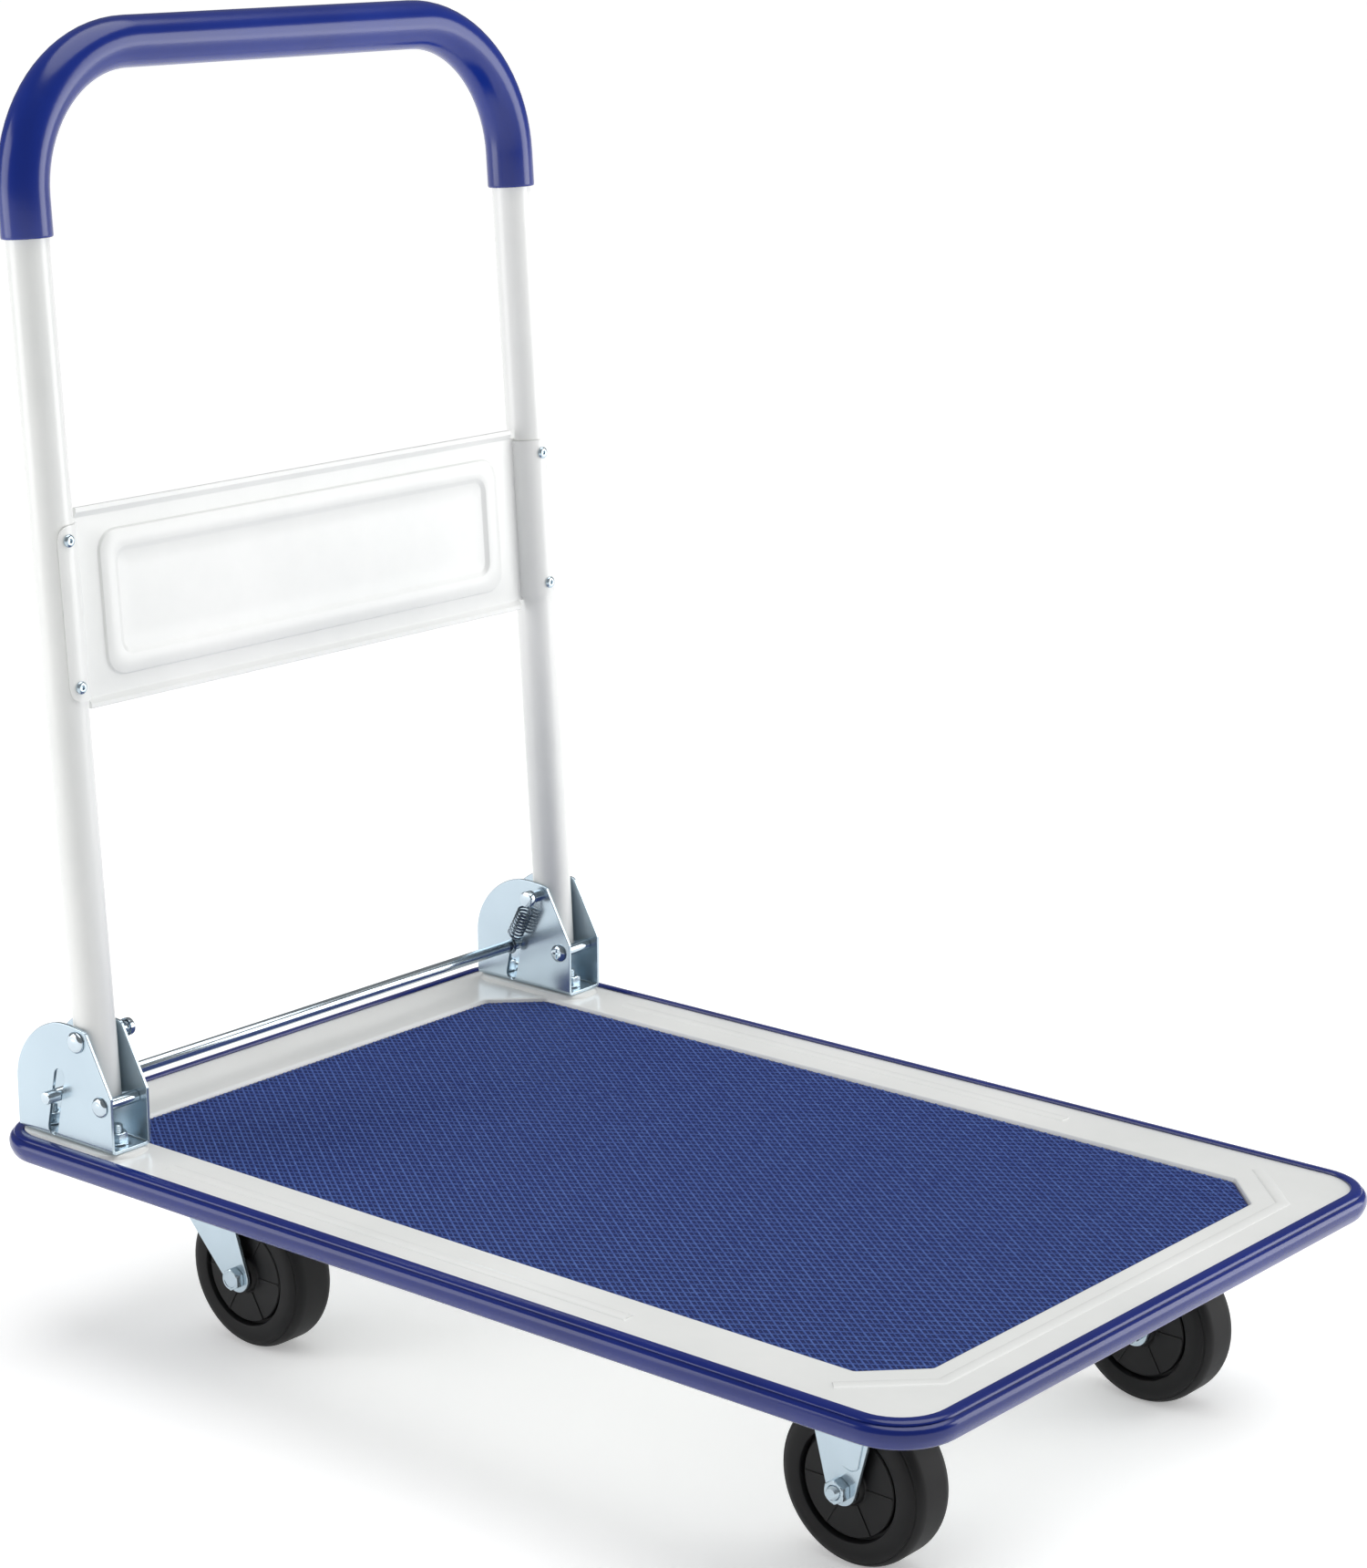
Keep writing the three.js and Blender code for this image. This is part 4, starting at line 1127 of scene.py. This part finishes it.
def buildCasters():
    c = casterSet
    pattern = hexHead("screwPattern", c["screwFlats"], c["screwHeight"])
    pattern.data.transform(Matrix.Rotation(math.pi, 4, "X"))
    low, crown, ring, king = c["plateTop"] - c["plateGauge"], c["crownTop"], c["ringRadius"], c["kingRadius"]
    raceLine = [(ring + r, low + h) for r, h in c["race"]]
    raceLine = [(0, raceLine[0][1])] + raceLine + [(0, raceLine[-1][1])]
    cupLine = [(ring + r, crown + h) for r, h in c["cup"]]
    under, head, top = crown - c["gauge"] - c["gap"], c["kingHead"], c["plateTop"]
    kingLine = [(0, top - 0.4), (king - 0.6, top - 0.4), (king, top - 1), (king, under), (head, under),
                (head - 0.5, under - 1.2), (head - 2.4, under - 2), (0, under - 2)]
    for name, side in sides.items():
        y = side * c["track"]
        kingAt = (c["kingX"], y, 0)
        parts = [plateBlank("plate", c["kingX"], side), turned("race", raceLine, kingAt, "Z", 1, 56),
                 plateScrews(pattern, c["kingX"], y, low)]
        plate = joinPieces(f"{name}RearCasterPlate", parts, 25)
        settle(plate, "deck", "zincPlate", f"rear_caster_plate_{name}")

        parts = [buildFork("fork", c["rearX"], c["kingX"] + c["rearLegFrom"], c["kingX"] + c["rearLegTo"],
                           crown, side, [roundHole(c["kingX"], 0, king + c["gap"])]),
                 turned("cup", cupLine, kingAt, "Z", 1, 56, closed=True)]
        settle(joinPieces(f"{name}RearFork", parts, 13), f"swivel_{name}", "zincPlate", f"rear_fork_{name}")

        pin = turned(f"{name}KingPin", kingLine, kingAt, "Z", 1, 36)
        settle(pin, "deck", "zincPlate", f"king_pin_{name}")

        x, half = c["frontX"], c["frontLegHalf"]
        parts = [plateBlank("plate", x, side), buildFork("fork", x, x - half, x + half, low, side, []),
                 plateScrews(pattern, x, y, low), forkCrease(side, 1), forkCrease(side, -1)]
        settle(joinPieces(f"{name}FrontFork", parts, 13), "deck", "zincPlate", f"front_fork_{name}")
    bpy.data.objects.remove(pattern)


buildCasters()
print("casters folded")

axleSet = {
    "radius": 4, "flats": 6.5, "headHeight": 5.5, "nutFlats": 6.5, "nutHeight": 6.2, "nutGap": 0.15,
    "stub": 2.6, "seat": 22.8, "pitch": 1.1,
}
wheelSet = {
    "radius": 49.5, "halfWidth": 17, "tyreInner": 33.4, "shoulder": 9, "lineDegrees": 38,
    "hubRadius": 33.2, "discHalf": 15.3, "grooveInner": 31.3, "grooveHalf": 11.5, "bossHalf": 19,
    "bossRadius": 11, "bore": 4.3, "lineDepth": 0.5, "lineHalfDegrees": 2.6,
    "spokes": 6, "spokeFrom": 12.5, "spokeTo": 30.6, "spokeWidth": 1.1, "spokeDepth": 0.55,
}


def tyreProfile():
    w = wheelSet
    half = [(w["tyreInner"], -w["halfWidth"] + 1.4), (w["tyreInner"] + 0.5, -w["halfWidth"] + 0.4),
            (w["tyreInner"] + 1.5, -w["halfWidth"])]
    cx, cy = w["radius"] - w["shoulder"], -w["halfWidth"] + w["shoulder"]
    for k in range(19):
        a = -90 + 5 * k
        sunk = abs(a + 90 - w["lineDegrees"]) < w["lineHalfDegrees"]
        r = w["shoulder"] - (w["lineDepth"] if sunk else 0)
        half.append((cx + r * math.cos(math.radians(a)), cy + r * math.sin(math.radians(a))))
    half.append((w["radius"], -2))
    return half + [(r, -h) for r, h in half[::-1]]


def hubProfile():
    w = wheelSet
    boss, rim, groove = w["bossRadius"], w["grooveInner"], w["grooveHalf"]
    half = [(w["bore"], -w["bossHalf"]), (boss - 0.6, -w["bossHalf"]), (boss, -w["bossHalf"] + 0.6),
            (boss + 1.0, -w["discHalf"] - 0.5), (boss + 1.8, -w["discHalf"]), (rim - 0.6, -w["discHalf"]),
            (rim, -w["discHalf"] + 0.6), (rim + 0.2, -groove), (w["hubRadius"], -groove)]
    return half + [(r, -h) for r, h in half[::-1]]


def buildHub(name, centre):
    w = wheelSet
    parts = [turned("hub", hubProfile(), centre, "Y", 1, 72, closed=True)]
    sizes = {"Count": w["spokes"], "Middle": (w["spokeFrom"] + w["spokeTo"]) / 2 * mm,
             "Length": (w["spokeTo"] - w["spokeFrom"]) * mm, "Width": w["spokeWidth"] * mm,
             "Depth": 2 * w["spokeDepth"] * mm, "Material": finishes["blackPlastic"]}
    for face in (1, -1):
        spot = Matrix.Translation(Vector((centre[0], centre[1] + face * w["discHalf"], centre[2])) * mm)
        parts.append(grow("spokes", trees["spoke"], sizes, [(0, 0, 0)], toPlace=spot))
    return joinPieces(name, parts)


# The bolt lies along Y, its head on headSide and its nut on the other.
def buildAxle(name, centre, headSide):
    a = axleSet
    place = Matrix.Translation(Vector(centre) * mm) @ Matrix.Rotation(-math.pi / 2 * headSide, 4, "X")
    seat = Matrix.Translation((0, 0, a["seat"] * mm))
    over = Matrix.Rotation(math.pi, 4, "X")
    head = hexHead("head", a["flats"], a["headHeight"])
    head.data.transform(seat)
    shank = threadedStub("shank", a["radius"], 2 * a["seat"] + a["nutHeight"] + a["stub"], a["pitch"])
    shank.data.transform(seat @ over)
    bolt = joinPieces(f"{name}AxleBolt", [head, shank], 25)
    bolt.data.transform(place)
    nut = hexHead(f"{name}AxleNut", a["nutFlats"], a["nutHeight"], a["radius"] + a["nutGap"])
    nut.data.transform(place @ over @ seat)
    return bolt, nut


def buildWheels():
    c = casterSet
    for name, side in sides.items():
        ends = (("rear", c["rearX"], side, f"swivel_{name}"), ("front", c["frontX"], -side, "deck"))
        for end, x, headSide, body in ends:
            centre = (x, side * c["track"], wheelSet["radius"])
            wheelBody, label = f"{end}_wheel_{name}", name + end.title()
            tyre = turned(f"{label}Tyre", tyreProfile(), centre, "Y", 1, 96, closed=True)
            settle(tyre, wheelBody, "blackRubber", f"{end}_tyre_{name}")
            settle(buildHub(f"{label}Hub", centre), wheelBody, "blackPlastic", f"{end}_hub_{name}")
            bolt, nut = buildAxle(label, centre, headSide)
            settle(bolt, body, "zincPlate", f"{end}_axle_bolt_{name}")
            settle(nut, body, "zincPlate", f"{end}_axle_nut_{name}")


buildWheels()
print("wheels mounted")

studioSet = {
    "sky": (1.0, 1.0, 1.0), "skyPower": 0.2, "floorHalf": 60, "sunPower": 1.9, "sunAngle": 60,
    "sunFrom": (0.1, 0.2, 1.0),
    "lights": {
        "rightBox": {"at": (1.74, 2.07, 1.0), "to": (0, 0, 0.45), "size": (1.7, 1.9), "power": 37},
        "leftBox": {"at": (-1.8, -2.0, 1.0), "to": (0, 0, 0.45), "size": (1.6, 1.9), "power": 26},
    },
}


def buildStudio():
    s = studioSet
    world = bpy.data.worlds.new("studioSky")
    world.use_nodes = True
    background = world.node_tree.nodes["Background"]
    background.inputs["Color"].default_value = (*s["sky"], 1)
    background.inputs["Strength"].default_value = s["skyPower"]
    scene.world = world
    for name, light in s["lights"].items():
        lamp = bpy.data.lights.new(name, "AREA")
        lamp.shape = "RECTANGLE"
        lamp.size, lamp.size_y = light["size"]
        lamp.energy = light["power"]
        holder = bpy.data.objects.new(name, lamp)
        aim = Vector(light["to"]) - Vector(light["at"])
        holder.location = light["at"]
        holder.rotation_euler = aim.to_track_quat("-Z", "Y").to_euler()
        scene.collection.objects.link(holder)
    sun = bpy.data.lights.new("overheadSun", "SUN")
    sun.energy = s["sunPower"]
    sun.angle = math.radians(s["sunAngle"])
    holder = bpy.data.objects.new("overheadSun", sun)
    holder.rotation_euler = Vector(s["sunFrom"]).to_track_quat("Z", "Y").to_euler()
    scene.collection.objects.link(holder)
    half = s["floorHalf"] / mm
    floor = solidFrom("studioFloor", [(-half, -half, 0), (half, -half, 0), (half, half, 0), (-half, half, 0)],
                      [(0, 1, 2, 3)])
    floor.data.materials.append(finishes["paleFloor"])


buildStudio()
print("studio lit")
